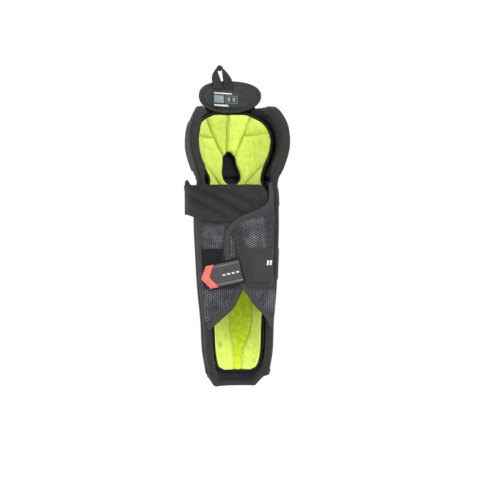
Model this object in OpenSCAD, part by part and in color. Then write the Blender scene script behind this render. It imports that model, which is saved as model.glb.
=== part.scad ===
// Hockey shin guard: hard shells over foam, padded walls and wings, liners,
// two calf wraps with straps, a thigh pad and a hanging loop.
// Frame: +Z up the leg, -Y towards the calf, +Y towards the shin, +X to the right
// as seen from the calf. The origin is on the leg's axis, level with the lower rim.

/* [Outline] */
// Half width of the section at the ankle end
ankle_half = 49.5; // [47.5:0.5:51.5]
// Half width of the section at the calf
calf_half = 65; // [63:0.5:66.5]
// Half width across the knee wings
knee_half = 78; // [76:0.5:79.5]
// Reach of the shell in front of the leg's axis at the calf
calf_front = 62; // [60:0.5:64]
// Reach of the knee cap in front of the leg's axis
knee_front = 76; // [74:0.5:78]
// Reach of the side walls behind the leg's axis
wall_rear = 43; // [41:0.5:44]

/* [Layers] */
// Thickness of the hard shells
shell_t = 2.7; // [2:0.1:2.8]
// Thickness of the foam under the shells
foam_t = 11; // [9:0.5:11]
// Thickness of the padded side walls
wall_t = 10; // [8:0.5:11]
// Thickness of the padded knee wings
wing_t = 13; // [10:0.5:14]
// Thickness of the removable liners
liner_t = 5; // [5:0.5:6.5]
// Thickness of each calf wrap
wrap_t = 3.5; // [2:0.25:3.5]
// Width of the sewn edge bindings
binding_w = 10; // [8:0.5:11]

/* [Thigh pad] */
// Width of the thigh pad
thigh_w = 99; // [92:1:101]
// Height of the thigh pad
thigh_h = 50; // [46:1:50]
// Thickness of the thigh pad
thigh_t = 8; // [6:0.5:8]

/* [Loop] */
// Width of the hanging loop's webbing
webbing_w = 15; // [12:0.5:16]
// Inner radius of the loop's crown
crown_r = 4; // [3.5:0.25:4.5]

/* [Hidden] */
$fn = 48;

// Colours
SHELL_GREY = [0.13, 0.13, 0.14];
FOAM_GREY = [0.3, 0.3, 0.32];
CLOTH_BLACK = [0.16, 0.16, 0.17];
TRIM_BLACK = [0.24, 0.24, 0.25];
NEON = [0.8, 0.95, 0.25];
HOOK_BLACK = [0.08, 0.08, 0.09];
STEEL = [0.7, 0.7, 0.72];
CORAL = [0.97, 0.36, 0.34];
LABEL_GREY = [0.55, 0.62, 0.63];

// The section runs from s = -1 at the left rear edge, round the front, to s = 1
FRONT_SHARE = 0.66;     // |s| up to which the section is the rounded front
BLUNT = 2.3;            // exponent of the rounded front's superellipse
CURL_IN = 4;            // how far the shin walls curl in at their rear edges
FOAM_S = 0.655;         // |s| that the foam reaches
COLUMNS = 14;           // columns of the foam, which the pieces on it share
SKIN_GAP = 0.3;         // air between pieces that lie on each other
SHELL_GAP = 0.9;        // air between a shell and its foam
BACKING_T = 1;          // thickness of the backing fabric
HOOK_T = 0.9;           // thickness of the hook patches

// Heights along the leg
NECK_Z = 325;           // parting of the shin and the knee sections
WALL_LOW_Z = 20;        // lower end of the side walls
LIP_FLAT = 33.5;        // half width of the flat lower rim
LIP_SLOPE = 1.7;        // rise of the rim's chamfers beyond that
LIP_BAND = 4;           // height of the lip's trim under the foam
LIP_GAP = 1.3;          // clear height between the trim and the foam
WING_MAX_Z = 386;       // where the wings reach furthest back
WING_TOP_Z = 442;
KNEE_TOP_Z = 436;
KNEE_TWIST = 6;         // how far the knee section is turned about the leg's axis

HALF_W = [[0, ankle_half - 4], [30, ankle_half], [60, ankle_half + 4.5], [105, calf_half - 9],
    [156, calf_half - 4.5], [206, calf_half - 2], [257, calf_half], [300, calf_half - 0.5],
    [326, calf_half - 2.5], [345, knee_half - 9], [370, knee_half - 1.5], [388, knee_half],
    [410, knee_half - 2.5], [428, knee_half - 9.5], [442, knee_half - 17.5]];
FRONT_Y = [[0, 40], [40, 45], [100, 51], [160, calf_front - 5], [230, calf_front],
    [290, calf_front + 1], [326, calf_front], [350, knee_front - 6], [385, knee_front],
    [415, knee_front - 6], [442, knee_front - 16]];
REAR_Y = [[20, 21], [50, 30], [100, 37], [160, wall_rear - 1], [220, wall_rear + 1],
    [300, wall_rear - 1], [326, wall_rear - 2], [386, wall_rear + 2]];

// ---- Smooth values through stations ----
function slope(t, i) = (i == 0 || i == len(t) - 1) ? 0
    : (t[i + 1][1] - t[i - 1][1]) / (t[i + 1][0] - t[i - 1][0]);
function piece(t, z, i = 0) = (i >= len(t) - 2 || z <= t[i + 1][0]) ? i : piece(t, z, i + 1);
function hermite(a, b, ma, mb, h, u) = a * (1 + 2 * u) * pow(1 - u, 2) + b * u * u * (3 - 2 * u)
    + h * ma * u * pow(1 - u, 2) - h * mb * u * u * (1 - u);
function at(t, z) = let (
        i = piece(t, z),
        h = t[i + 1][0] - t[i][0],
        u = min(1, max(0, (z - t[i][0]) / h)))
    hermite(t[i][1], t[i + 1][1], slope(t, i), slope(t, i + 1), h, u);
function clamp(v, lo, hi) = min(hi, max(lo, v));
function mix(a, b, u) = a + (b - a) * u;
function smooth(u) = let (c = clamp(u, 0, 1)) c * c * (3 - 2 * c);
function steps(a, b, n) = [for (i = [0 : n]) mix(a, b, i / n)];

// ---- The U section ----
function twist(z) = KNEE_TWIST * smooth((z - 300) / 60);
function curl(z) = CURL_IN * (1 - smooth((z - 300) / 50));
function turn(p, a) = [p[0] * cos(a) - p[1] * sin(a), p[0] * sin(a) + p[1] * cos(a)];
function front_point(s, w, f) = let (a = 90 * s / FRONT_SHARE)
    [w * sign(s) * pow(abs(sin(a)), 2 / BLUNT), f * pow(abs(cos(a)), 2 / BLUNT)];
function side_point(s, w, r, c) = let (u = (abs(s) - FRONT_SHARE) / (1 - FRONT_SHARE))
    [sign(s) * (w - c * u * u), -r * u];
function section(s, z, inset) = let (
        w = at(HALF_W, z) - inset,
        f = at(FRONT_Y, z) - inset,
        flat = abs(s) <= FRONT_SHARE ? front_point(s, w, f) : side_point(s, w, at(REAR_Y, z), curl(z)),
        p = turn(flat, twist(z)))
    [p[0], p[1], z];

// Height of the lower rim: flat in front, chamfered up to the side walls
function rim_z(s) = let (c = min(abs(s), FRONT_SHARE))
    clamp((section(c, 0, 0)[0] - LIP_FLAT) * LIP_SLOPE, 0, WALL_LOW_Z);
// The shin and the knee sections part in a shallow wedge, so that the knee can flex
function neck_y(s) = section(s, NECK_Z, 0)[1];
function neck_gap(s) = 3 + 0.115 * max(0, 5 - neck_y(s)) + 0.065 * max(0, neck_y(s) - 5);
function knee_low_z(s) = NECK_Z + neck_gap(s);
// The wings' tops fall away to the rear in a quarter ellipse
function wing_top_z(s) = let (u = clamp((abs(s) - FRONT_SHARE) / (1 - FRONT_SHARE), 0, 1))
    abs(s) <= FRONT_SHARE
        ? mix(KNEE_TOP_Z, WING_TOP_Z, smooth(abs(s) / 0.32))
        : WING_MAX_Z + (WING_TOP_Z - WING_MAX_Z) * sqrt(1 - 0.96 * u * u);

// ---- A closed solid between two grids of points ----
// Columns run left, front, right, then back across the calf; rows run upwards.
module solid_between(outer, inner) {
    m = len(outer);
    n = len(outer[0]);
    function id(g, i, j) = (g * m + i) * n + j;
    function quad(a, b, c, d) = [[a, b, c], [a, c, d]];
    points = [for (g = [outer, inner]) for (row = g) for (p = row) p];
    quads = concat(
        [for (i = [0 : m - 2]) for (j = [0 : n - 2])
            quad(id(0, i, j), id(0, i, j + 1), id(0, i + 1, j + 1), id(0, i + 1, j))],
        [for (i = [0 : m - 2]) for (j = [0 : n - 2])
            quad(id(1, i + 1, j), id(1, i + 1, j + 1), id(1, i, j + 1), id(1, i, j))],
        [for (j = [0 : n - 2]) quad(id(0, 0, j + 1), id(0, 0, j), id(1, 0, j), id(1, 0, j + 1))],
        [for (j = [0 : n - 2])
            quad(id(0, m - 1, j), id(0, m - 1, j + 1), id(1, m - 1, j + 1), id(1, m - 1, j))],
        [for (i = [0 : m - 2]) quad(id(0, i, 0), id(0, i + 1, 0), id(1, i + 1, 0), id(1, i, 0))],
        [for (i = [0 : m - 2])
            quad(id(0, i + 1, n - 1), id(0, i, n - 1), id(1, i, n - 1), id(1, i + 1, n - 1))]);
    polyhedron(points = points, faces = [for (q = quads) for (f = q) f]);
}

// A panel of the U section between two insets, with a column at each station
module panel_at(stations, low, high, near, far, nz) {
    grid = function (inset) [for (v = steps(0, 1, nz)) [for (s = stations)
        section(s, mix(low(s), high(s), v), inset)]];
    solid_between(grid(near), grid(far));
}
module panel(s0, s1, low, high, near, far, ns, nz) {
    panel_at(steps(s0, s1, ns), low, high, near, far, nz);
}
// |s| that a panel with fewer columns reaches on the same stations
function share_s(full, columns) = full * columns / COLUMNS;

// The same, with an outline that narrows towards its ends: |s| reaches half_s(z)
module shaped_panel(half_s, z0, z1, near, far, ns, nz) {
    grid = function (inset) [for (v = steps(0, 1, nz)) let (z = mix(z0, z1, v))
        [for (s = steps(-half_s(z), half_s(z), ns)) section(s, z, inset(z))]];
    solid_between(grid(near), grid(far));
}

// ---- The calf side ----
WRAP_HINGE_X = 60.5;    // the wraps' hinge lines, left and right
WRAP_HINGE_Y = -47.5;
CALF_BULGE = 13;        // how far the closed wraps bulge behind the walls
WRAP_CLEAR = 3;         // air between the walls' rear edges and the wraps
LAYER_GAP = 1;        // air between the left wrap and the right wrap over it
RIGHT_UNDER = wrap_t + LAYER_GAP;
STRAP_UNDER = RIGHT_UNDER + wrap_t + 0.6;   // underside of the straps on the right wrap
TRIM_T = 0.3;           // how far bindings stand proud on each face
PANEL_GAP = 0.3;

RIGHT_EDGE = [[89, 43.5], [111, 40], [136, 18.5], [156, 5.5], [175, -13], [197, -21.5], [221, -24],
    [245, -21], [258, -11.5], [268, 1], [279, 30], [291, 44.5], [318, 46]];
LEFT_EDGE = [[81, -42.5], [97, -40], [112, -26], [129, -9], [152, 2.5], [170, 10], [200, 14], [230, 8],
    [256, -6], [272, -24]];
left_wall_x = function (z) at(HALF_W, z) - CURL_IN - 1;
// The right wrap is sewn nearer the wall's inner face, above the ankle
right_wall_x = function (z) left_wall_x(z) - 7 * smooth((z - 130) / 60);
function calf_y(x, z, out) = -(at(REAR_Y, z) + WRAP_CLEAR + out
    + CALF_BULGE * (1 - pow(clamp(x / WRAP_HINGE_X, -1, 1), 2)));
function edge_run(t, z) = let (d = (at(t, z + 2) - at(t, z - 2)) / 4) binding_w * sqrt(1 + d * d);
right_free = function (z) at(RIGHT_EDGE, z);
right_sewn = function (z) min(right_free(z) + edge_run(RIGHT_EDGE, z), right_wall_x(z));
left_free = function (z) at(LEFT_EDGE, z);
left_sewn = function (z) max(left_free(z) - edge_run(LEFT_EDGE, z), -left_wall_x(z));

// A piece of the calf side: from x = right(z) to x = left(z), between two layer heights
module calf_panel(right, left, z0, z1, under, over, nx, nz) {
    grid = function (out) [for (z = steps(z0, z1, nz)) [for (x = steps(right(z), left(z), nx))
        [x, calf_y(x, z, out), z]]];
    solid_between(grid(over), grid(under));
}

// ---- Shin section ----
module shin_shell() {
    reach = share_s(FOAM_S, 12);
    color(SHELL_GREY)
    panel(-reach, reach, function (s) rim_z(s) + 9, function (s) 314 - 30 * pow(abs(s), 3),
        -SHELL_GAP - shell_t, -SHELL_GAP, 12, 9);
}
module shin_foam() {
    color(FOAM_GREY)
    panel(-FOAM_S, FOAM_S, function (s) rim_z(s) + LIP_BAND, function (s) NECK_Z, 0, foam_t, COLUMNS, 9);
}
BACKING_IN = foam_t + SKIN_GAP;
module shin_backing_fabric() {
    color(CLOTH_BLACK)
    panel(-FOAM_S, FOAM_S, function (s) rim_z(s) + LIP_BAND, function (s) NECK_Z,
        BACKING_IN, BACKING_IN + BACKING_T, COLUMNS, 9);
}
WALL_COLUMNS = 5;
function wall_s(i) = mix(FOAM_S + 0.01, 1, i / WALL_COLUMNS);
module side_wall(side) {
    s = side * wall_s(0);
    color(CLOTH_BLACK)
    panel(min(s, side), max(s, side), function (s) WALL_LOW_Z + LIP_BAND, function (s) NECK_Z,
        0, wall_t, WALL_COLUMNS, 10);
}
module left_side_wall() side_wall(-1);
module right_side_wall() side_wall(1);

// Sewn binding over the rear edge of a side wall, from the lip up to the wrap
module wall_binding(side) {
    low = WALL_LOW_Z + LIP_BAND;
    high = 86;
    outer_x = function (z) section(side, z, -1)[0];
    grid = function (out) [for (z = steps(low, high, 5))
        let (a = outer_x(z), b = a - side * (wall_t + 2))
        [for (x = steps(max(a, b), min(a, b), 2)) [x, -at(REAR_Y, z) - out, z]]];
    color(TRIM_BLACK) solid_between(grid(2), grid(SKIN_GAP));
}
module left_wall_binding() wall_binding(-1);
module right_wall_binding() wall_binding(1);

// Trim under the foam and walls, all the way round the lower rim
module bottom_lip() {
    stations = concat(steps(-1, -0.7, 5), steps(-FOAM_S, FOAM_S, COLUMNS), steps(0.7, 1, 5));
    color(TRIM_BLACK)
    panel_at(stations, function (s) rim_z(s), function (s) rim_z(s) + LIP_BAND - LIP_GAP, -2, wall_t + 1, 1);
}

HOOK_IN = BACKING_IN + BACKING_T + SKIN_GAP;
LINER_IN = HOOK_IN + HOOK_T + SKIN_GAP;
KNEE_EXTRA = 3;         // how much further in the liner lies at the knee
LINER_S = [[26, 0.3], [32, 0.5], [42, 0.62], [60, 0.65], [140, 0.65], [325, 0.65]];
KNEE_LINER_S = [[325, 0.5], [345, 0.56], [370, 0.64], [390, 0.65], [408, 0.58], [422, 0.42], [430, 0.22]];
liner_near = function (z) LINER_IN + KNEE_EXTRA * smooth((z - 300) / 50);
liner_far = function (z) liner_near(z) + liner_t;
KEYHOLE_X = -3;         // the keyhole sits a little off the middle
KEYHOLE_R = 14;
KEYHOLE_LOW_Z = 320;
KEYHOLE_TIP_Z = 373;
KEYHOLE_SHOULDER_R = 9.5;
module keyhole_cut() {
    rotate([0, 0, KNEE_TWIST]) translate([KEYHOLE_X, 90, 0]) rotate([90, 0, 0])
    linear_extrude(80) hull() {
        translate([0, KEYHOLE_LOW_Z + KEYHOLE_R]) circle(r = KEYHOLE_R, $fn = 32);
        translate([0, KEYHOLE_TIP_Z - 7 - KEYHOLE_SHOULDER_R]) circle(r = KEYHOLE_SHOULDER_R, $fn = 32);
        translate([0, KEYHOLE_TIP_Z - 1]) circle(r = 1, $fn = 16);
    }
}
module shin_liner() {
    color(NEON) difference() {
        shaped_panel(function (z) at(LINER_S, z), LINER_S[0][0], NECK_Z, liner_near, liner_far, 14, 12);
        keyhole_cut();
    }
}
module hook_pair(z0, z1, size) {
    reach = share_s(FOAM_S, 4);
    for (z = [z0, z1])
        panel(-reach, reach, function (s) z, function (s) z + size, HOOK_IN, HOOK_IN + HOOK_T, 4, 2);
}
module shin_liner_hooks() color(HOOK_BLACK) hook_pair(60, 230, 35);

RIVET_R = 4.5;
RIVET_H = 1.6;
// A rivet head standing on a shell at the section's own normal
module rivet(s, z) {
    p = section(s, z, -SHELL_GAP - shell_t);
    q = section(s + 0.02, z, -SHELL_GAP - shell_t);
    facing = atan2(q[1] - p[1], q[0] - p[0]) + 90;
    translate(p) rotate([0, 0, facing]) rotate([0, 90, 0]) translate([0, 0, 0.5])
        cylinder(r = RIVET_R, h = RIVET_H);
}
module shell_rivets() {
    color(STEEL) for (side = [-1, 1]) for (z = [58, 270]) rivet(side * 0.5, z);
}

// Webbing patches sewn to the outside of the right wall, on the wall's own columns
ANCHOR_GAP = 1;
ANCHOR_T = 1.2;
module wall_anchor(z0, z1) {
    color(CLOTH_BLACK)
    panel(wall_s(1), wall_s(4), function (s) z0, function (s) z1, -ANCHOR_GAP - ANCHOR_T, -ANCHOR_GAP, 3, 4);
}
module upper_strap_anchor() wall_anchor(284, 312);
module mid_strap_anchor() wall_anchor(170, 219);
module upper_strap_landing() {
    color(HOOK_BLACK)
    panel(-0.84, -0.68, function (s) 266, function (s) 314, -SKIN_GAP - 1, -SKIN_GAP, 3, 4);
}

// Flexible fabric in the wedge between the two sections
module knee_gusset() {
    color(CLOTH_BLACK)
    panel(-1, 1, function (s) NECK_Z + 0.5, function (s) knee_low_z(s) - 0.8, 1.5, 5.5, 26, 1);
}

// ---- Knee section ----
module knee_shell() {
    reach = share_s(KNEE_FOAM_S, 12);
    color(SHELL_GREY)
    panel(-reach, reach, function (s) 342, function (s) 428 - 60 * pow(abs(s), 3),
        -SHELL_GAP - shell_t, -SHELL_GAP, 12, 8);
}
KNEE_FOAM_S = 0.6;
module knee_foam() {
    color(FOAM_GREY)
    panel(-KNEE_FOAM_S, KNEE_FOAM_S, function (s) knee_low_z(s), function (s) wing_top_z(s) - 1,
        0, foam_t, COLUMNS, 8);
}
module knee_backing_fabric() {
    color(CLOTH_BLACK)
    panel(-KNEE_FOAM_S, KNEE_FOAM_S, function (s) knee_low_z(s), function (s) wing_top_z(s) - 1,
        BACKING_IN, BACKING_IN + BACKING_T, COLUMNS, 8);
}
PIPING_T = 3;
module knee_wing(side) {
    s = side * (KNEE_FOAM_S + 0.01);
    color(CLOTH_BLACK)
    panel(min(s, side * 0.97), max(s, side * 0.97), function (s) knee_low_z(s),
        function (s) wing_top_z(s) - PIPING_T, 0, wing_t, 8, 7);
}
module left_knee_wing() knee_wing(-1);
module right_knee_wing() knee_wing(1);
// Piping along the top and down the rear edge of a wing
module wing_piping(side) {
    a = KNEE_FOAM_S + 0.01;
    color(TRIM_BLACK) {
        panel(min(side * a, side * 0.97), max(side * a, side * 0.97),
            function (s) wing_top_z(s) - PIPING_T + SKIN_GAP, function (s) wing_top_z(s),
            1, wing_t - 1, 8, 1);
        panel(min(side * 0.975, side), max(side * 0.975, side), function (s) knee_low_z(s),
            function (s) wing_top_z(s), 1, wing_t - 1, 1, 8);
    }
}
module left_wing_piping() wing_piping(-1);
module right_wing_piping() wing_piping(1);

KNEE_LINER_LOW_Z = NECK_Z + 6;
module knee_liner() {
    color(NEON) difference() {
        shaped_panel(function (z) at(KNEE_LINER_S, z), KNEE_LINER_LOW_Z, KNEE_LINER_S[6][0],
            liner_near, liner_far, 16, 10);
        keyhole_cut();
    }
}
KNEE_HOOK_IN = HOOK_IN + KNEE_EXTRA - 0.5;
module knee_liner_hooks() {
    reach = share_s(KNEE_FOAM_S, 4);
    color(HOOK_BLACK)
    panel(-reach, reach, function (s) 394, function (s) 420, KNEE_HOOK_IN,
        KNEE_HOOK_IN + HOOK_T, 8, 2);
}

// ---- Thigh pad: an oval, bent a little round the thigh ----
THIGH_X = -5.5;
THIGH_Y = 35.5;           // middle of the pad's thickness, in the knee's own turned frame
THIGH_Z = 460;
THIGH_BEND_R = 60;
PLATE_T = 2;
PLATE_GAP = 0.6;
THIGH_BACK = thigh_t / 2;
function bent_y(x, out) = THIGH_Y - x * x / (2 * THIGH_BEND_R) - out;
OVAL_POWER = 2.2;
function oval_half(w, h, v) = w / 2 * pow(max(0.02, 1 - pow(abs(2 * v / h), OVAL_POWER)), 0.47);
function oval_point(w, h, a) = [w / 2 * sign(cos(a)) * pow(abs(cos(a)), 0.94),
    h / 2 * sign(sin(a)) * pow(abs(sin(a)), 2 / OVAL_POWER)];
// Part of the oval between two depths; out grows towards the calf
module bent_oval(w, h, near, far, nx, nz) {
    heights = [for (i = [0 : nz]) -h / 2 * cos(180 * i / nz)];
    grid = function (out) [for (v = heights) let (half = oval_half(w, h, v))
        [for (k = steps(1, -1, nx)) let (p = turn([THIGH_X + k * half, bent_y(k * half, out)], KNEE_TWIST))
            [p[0], p[1], THIGH_Z + v]]];
    solid_between(grid(near), grid(far));
}
module thigh_pad() {
    color(CLOTH_BLACK) bent_oval(thigh_w - 5, thigh_h - 5, THIGH_BACK, -THIGH_BACK + PLATE_T, 10, 9);
}
module thigh_plate() {
    color(SHELL_GREY) bent_oval(thigh_w - 8, thigh_h - 8, -THIGH_BACK + PLATE_T - PLATE_GAP, -THIGH_BACK, 10, 9);
}
PIPING_W = 1.6;
OVAL_STEPS = 36;
module thigh_piping() {
    near = THIGH_BACK - 1.2;
    far = -THIGH_BACK + 0.6;
    corners = [[0, near], [PIPING_W, near], [PIPING_W, far], [0, far]];
    points = [for (i = [0 : OVAL_STEPS - 1]) for (c = corners)
        let (q = oval_point(thigh_w - 2 * c[0], thigh_h - 2 * c[0], 360 * (i + 0.5) / OVAL_STEPS),
            p = turn([THIGH_X + q[0], bent_y(q[0], c[1])], KNEE_TWIST))
        [p[0], p[1], THIGH_Z + q[1]]];
    function id(i, c) = (i % OVAL_STEPS) * 4 + c % 4;
    faces = [for (i = [0 : OVAL_STEPS - 1]) for (c = [0 : 3])
        for (f = [[id(i, c), id(i + 1, c + 1), id(i + 1, c)], [id(i, c), id(i, c + 1), id(i + 1, c + 1)]]) f];
    color(TRIM_BLACK) polyhedron(points = points, faces = faces);
}
LABEL_W = 40;
LABEL_H = 24;
LABEL_X = -5;
module size_label() {
    grid = function (out) [for (v = [-LABEL_H / 2, LABEL_H / 2]) [for (k = steps(0.5, -0.5, 4))
        let (x = LABEL_X + k * LABEL_W, p = turn([THIGH_X + x, bent_y(x, out)], KNEE_TWIST))
        [p[0], p[1], THIGH_Z - 1 + v]]];
    color(LABEL_GREY) solid_between(grid(THIGH_BACK + 0.8), grid(THIGH_BACK + 0.2));
}
// Cloth hinge from the knee section's top edge to the pad's lower edge
module thigh_hinge_fabric() {
    color(CLOTH_BLACK) rotate([0, 0, KNEE_TWIST]) translate([-19, 39.5, 430.6]) cube([32, 6.5, 4.1]);
}

// ---- Hanging loop: a crown over the hook and two legs sewn to the pad ----
LOOP_X = -14.5;
LOOP_LEAN = -5.7;        // how far the crown stands to the left of the feet
LOOP_LOW_Z = 472;
CROWN_Z = 504;
CROWN_Y = 24;
CROWN_DEPTH = 8;
WEB_T = 1.4;
module hang_loop() {
    color(TRIM_BLACK) {
        rotate([0, 0, KNEE_TWIST]) translate([LOOP_X + LOOP_LEAN, CROWN_Y, CROWN_Z]) rotate([90, 0, 0])
            difference() {
                cylinder(r = crown_r + WEB_T, h = CROWN_DEPTH, center = true);
                cylinder(r = crown_r, h = CROWN_DEPTH + 2, center = true);
                translate([-20, -40, -10]) cube([40, 40, 20]);
            }
        for (side = [-1, 1]) loop_leg(side);
    }
}
// One leg, flat on the pad at its foot and turning edge on into the crown's end
FOOT_INNER = 2;         // half the gap between the two feet
module loop_leg(side) {
    inner = function (v) mix(FOOT_INNER, crown_r, smooth(v));
    outer = function (v) mix(FOOT_INNER + webbing_w, crown_r + WEB_T, pow(v, 3.5));
    grid = function (out) [for (v = steps(0, 1, 8))
        let (middle = LOOP_X + LOOP_LEAN * smooth(v), t = mix(0.6, CROWN_DEPTH / 2, pow(v, 3)),
            z = mix(LOOP_LOW_Z, CROWN_Z, v))
        [for (k = [0, 0.5, 1])
            let (px = middle + side * mix(side > 0 ? outer(v) : inner(v), side > 0 ? inner(v) : outer(v), k),
                y = mix(bent_y(px - THIGH_X, THIGH_BACK + 1.3), CROWN_Y, smooth(v * 1.4)),
                p = turn([px, y - out * t], KNEE_TWIST))
            [p[0], p[1], z]]];
    solid_between(grid(1), grid(-1));
}

// ---- Left wrap, under the right one ----
module left_wrap() {
    color(CLOTH_BLACK)
    calf_panel(function (z) left_sewn(z) - PANEL_GAP, function (z) -left_wall_x(z), 109, 271,
        0, wrap_t, 7, 12);
}
module left_wrap_binding() {
    color(TRIM_BLACK)
    calf_panel(left_free, left_sewn, 82, 271, -TRIM_T, wrap_t + TRIM_T, 2, 14);
}
LANDING_T = 0.8;
module loop_landing() {
    color(HOOK_BLACK)
    calf_panel(function (z) -27, function (z) -left_wall_x(z) + 0.5, 163, 219, wrap_t + 0.1,
        wrap_t + 0.1 + LANDING_T, 4, 4);
}

// ---- Right wrap ----
module right_wrap() {
    color(CLOTH_BLACK)
    calf_panel(right_wall_x, function (z) right_sewn(z) + PANEL_GAP, 122, 276,
        RIGHT_UNDER, RIGHT_UNDER + wrap_t, 8, 28);
}
module right_wrap_binding() {
    color(TRIM_BLACK)
    calf_panel(right_sewn, right_free, 89, 320, RIGHT_UNDER - TRIM_T, RIGHT_UNDER + wrap_t + TRIM_T, 4, 42);
}
// Middle of the keeper strip, which leans as the pull tab does
TAB_LEAN = 12;
function keeper_x(z) = 11.5 - (z - 183) * tan(TAB_LEAN + 3);
KEEPER_W = 15;
KEEPER_Z = [160, 243];
ELASTIC_T = 1.4;
module keeper_strip() {
    color(TRIM_BLACK)
    calf_panel(function (z) keeper_x(z) + KEEPER_W / 2, function (z) keeper_x(z) - KEEPER_W / 2,
        KEEPER_Z[0], KEEPER_Z[1], STRAP_UNDER, STRAP_UNDER + ELASTIC_T + 0.6, 3, 8);
}
module mid_elastic() {
    color(CLOTH_BLACK)
    calf_panel(right_wall_x, function (z) keeper_x(z) + KEEPER_W / 2 + PANEL_GAP, 169, 218,
        STRAP_UNDER, STRAP_UNDER + ELASTIC_T, 7, 4);
}

// ---- Upper strap: from under the right wrap, across the calf and round the left wall ----
STRAP_T = 2.6;
STRAP_END_X = 43;
STRAP_TOP_Z = 317;
STRAP_LOW_Z = 268;
STRAP_HINGE_X = 1;      // the strap is sewn down to the right of this line
STRAP_HINGE_Y = -61;
ROOT_UNDER = 0.3;       // the root's underside, above the bare calf line
function strap_top_z(x) = STRAP_TOP_Z - 11 * pow(clamp((x - 29) / 14, 0, 1), 2);
// The root lies under the right wrap, clear of the left wrap's corner
module upper_strap_root() {
    grid = function (out) [for (v = steps(0, 1, 4)) [for (x = steps(STRAP_END_X, STRAP_HINGE_X + 1, 6))
        let (z = mix(STRAP_LOW_Z, strap_top_z(x), v)) [x, calf_y(x, z, out), z]]];
    color(CLOTH_BLACK) solid_between(grid(ROOT_UNDER + STRAP_T), grid(ROOT_UNDER));
}
// Plan of the free part's inner face, from the hinge to the end of the tail
STRAP_PLAN = [[STRAP_HINGE_X - 0.5, -59.7], [-11, -63.5], [-40, -59.6], [-57.5, -53], [-72.5, -42.5],
    [-78.8, -27], [-78.5, -9], [-75, 7], [-72.5, 19]];
function strap_dir(i) = let (a = STRAP_PLAN[max(0, i - 1)],
        b = STRAP_PLAN[min(len(STRAP_PLAN) - 1, i + 1)], d = b - a) d / norm(d);
// The lower edge drops beside the right wrap's edge, and rises again round the wall
function strap_low_z(p) = p[1] > -30 ? 273
    : p[0] > 0 ? STRAP_LOW_Z + 1.4
    : mix(260.4, 262, clamp((-11 - p[0]) / 46, 0, 1)) + (p[0] < -60 ? (-60 - p[0]) / 2 : 0);
module strap_run(first, last, under, over, trim, rows) {
    grid = function (out) [for (v = steps(0, 1, rows)) [for (i = [first : last])
        let (p = STRAP_PLAN[i], d = strap_dir(i), q = p + out * [-d[1], d[0]])
        [q[0], q[1], mix(strap_low_z(p) + trim, STRAP_TOP_Z - trim, v)]]];
    solid_between(grid(over), grid(under));
}
module upper_strap() {
    color(CLOTH_BLACK) strap_run(0, len(STRAP_PLAN) - 1, 0, STRAP_T, 0, 4);
}
module strap_hook_patch() {
    color(HOOK_BLACK) strap_run(6, 8, -1, -0.1, 6, 2);
}
// Short pull at the end of the tail
module strap_pull() {
    last = len(STRAP_PLAN) - 1;
    d = strap_dir(last);
    grid = function (out) [for (z = steps(283, 306, 2)) [for (k = [0.3, 7, 14])
        let (q = STRAP_PLAN[last] + k * d + out * [-d[1], d[0]]) [q[0], q[1], z]]];
    color(TRIM_BLACK) solid_between(grid(2), grid(0.6));
}

// ---- Pull tab, hinged beside the keeper strip ----
TAB_X = 2.8;
TAB_Z = 186;
TAB_OVER = STRAP_UNDER + 0.2;
// Tab coordinates: a runs left from the hinge, b runs up
function tab_x(a, b) = TAB_X - a * cos(TAB_LEAN) - b * sin(TAB_LEAN);
function tab_z(a, b) = TAB_Z - a * sin(TAB_LEAN) + b * cos(TAB_LEAN);
// The tab steps down from the right wrap's edge on to the landing
function tab_drop(x) = 3.2 * smooth((-26 - x) / 12);
module tab_piece(a0, a1, b_low, b_high, under, over, na, nb) {
    grid = function (out) [for (v = steps(0, 1, nb)) [for (a = steps(a0, a1, na))
        let (b = mix(b_low(a), b_high(a), v), x = tab_x(a, b), z = tab_z(a, b))
        [x, calf_y(x, z, TAB_OVER + out - tab_drop(x)), z]]];
    solid_between(grid(over), grid(under));
}
TAB_HALF = 17.5;
TAB_LEN = 63;
CHEVRON_W = 11;
NOSE = 11;              // how far the chevron's tip leads its corners
function nose_half(a, tip) = min(TAB_HALF, max(0.8, (tip - a) * TAB_HALF / NOSE));
module tab_backing() {
    color(HOOK_BLACK)
    tab_piece(1, 50, function (a) -TAB_HALF - 2.5, function (a) TAB_HALF + 2.5, 0, 0.9, 7, 3);
}
module pull_tab() {
    color(CLOTH_BLACK)
    tab_piece(1.5, 50.6, function (a) -nose_half(a, TAB_LEN - CHEVRON_W - 1),
        function (a) nose_half(a, TAB_LEN - CHEVRON_W - 1), 1.5, 3.5, 9, 4);
}
// The chevron wraps the tab's pointed end
module tab_chevron() {
    arm = function (out, k) [for (v = steps(0, 1, 1)) [for (u = steps(0, 1, 4))
        let (b = k * TAB_HALF * (k > 0 ? 1 - u : u), a = TAB_LEN - NOSE * abs(b) / TAB_HALF - (1 - v) * CHEVRON_W,
            x = tab_x(a, b), z = tab_z(a, b))
        [x, calf_y(x, z, TAB_OVER + out - tab_drop(x)), z]]];
    color(CORAL) for (k = [1, -1]) solid_between(arm(3.7, k), arm(1.4, k));
}

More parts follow.
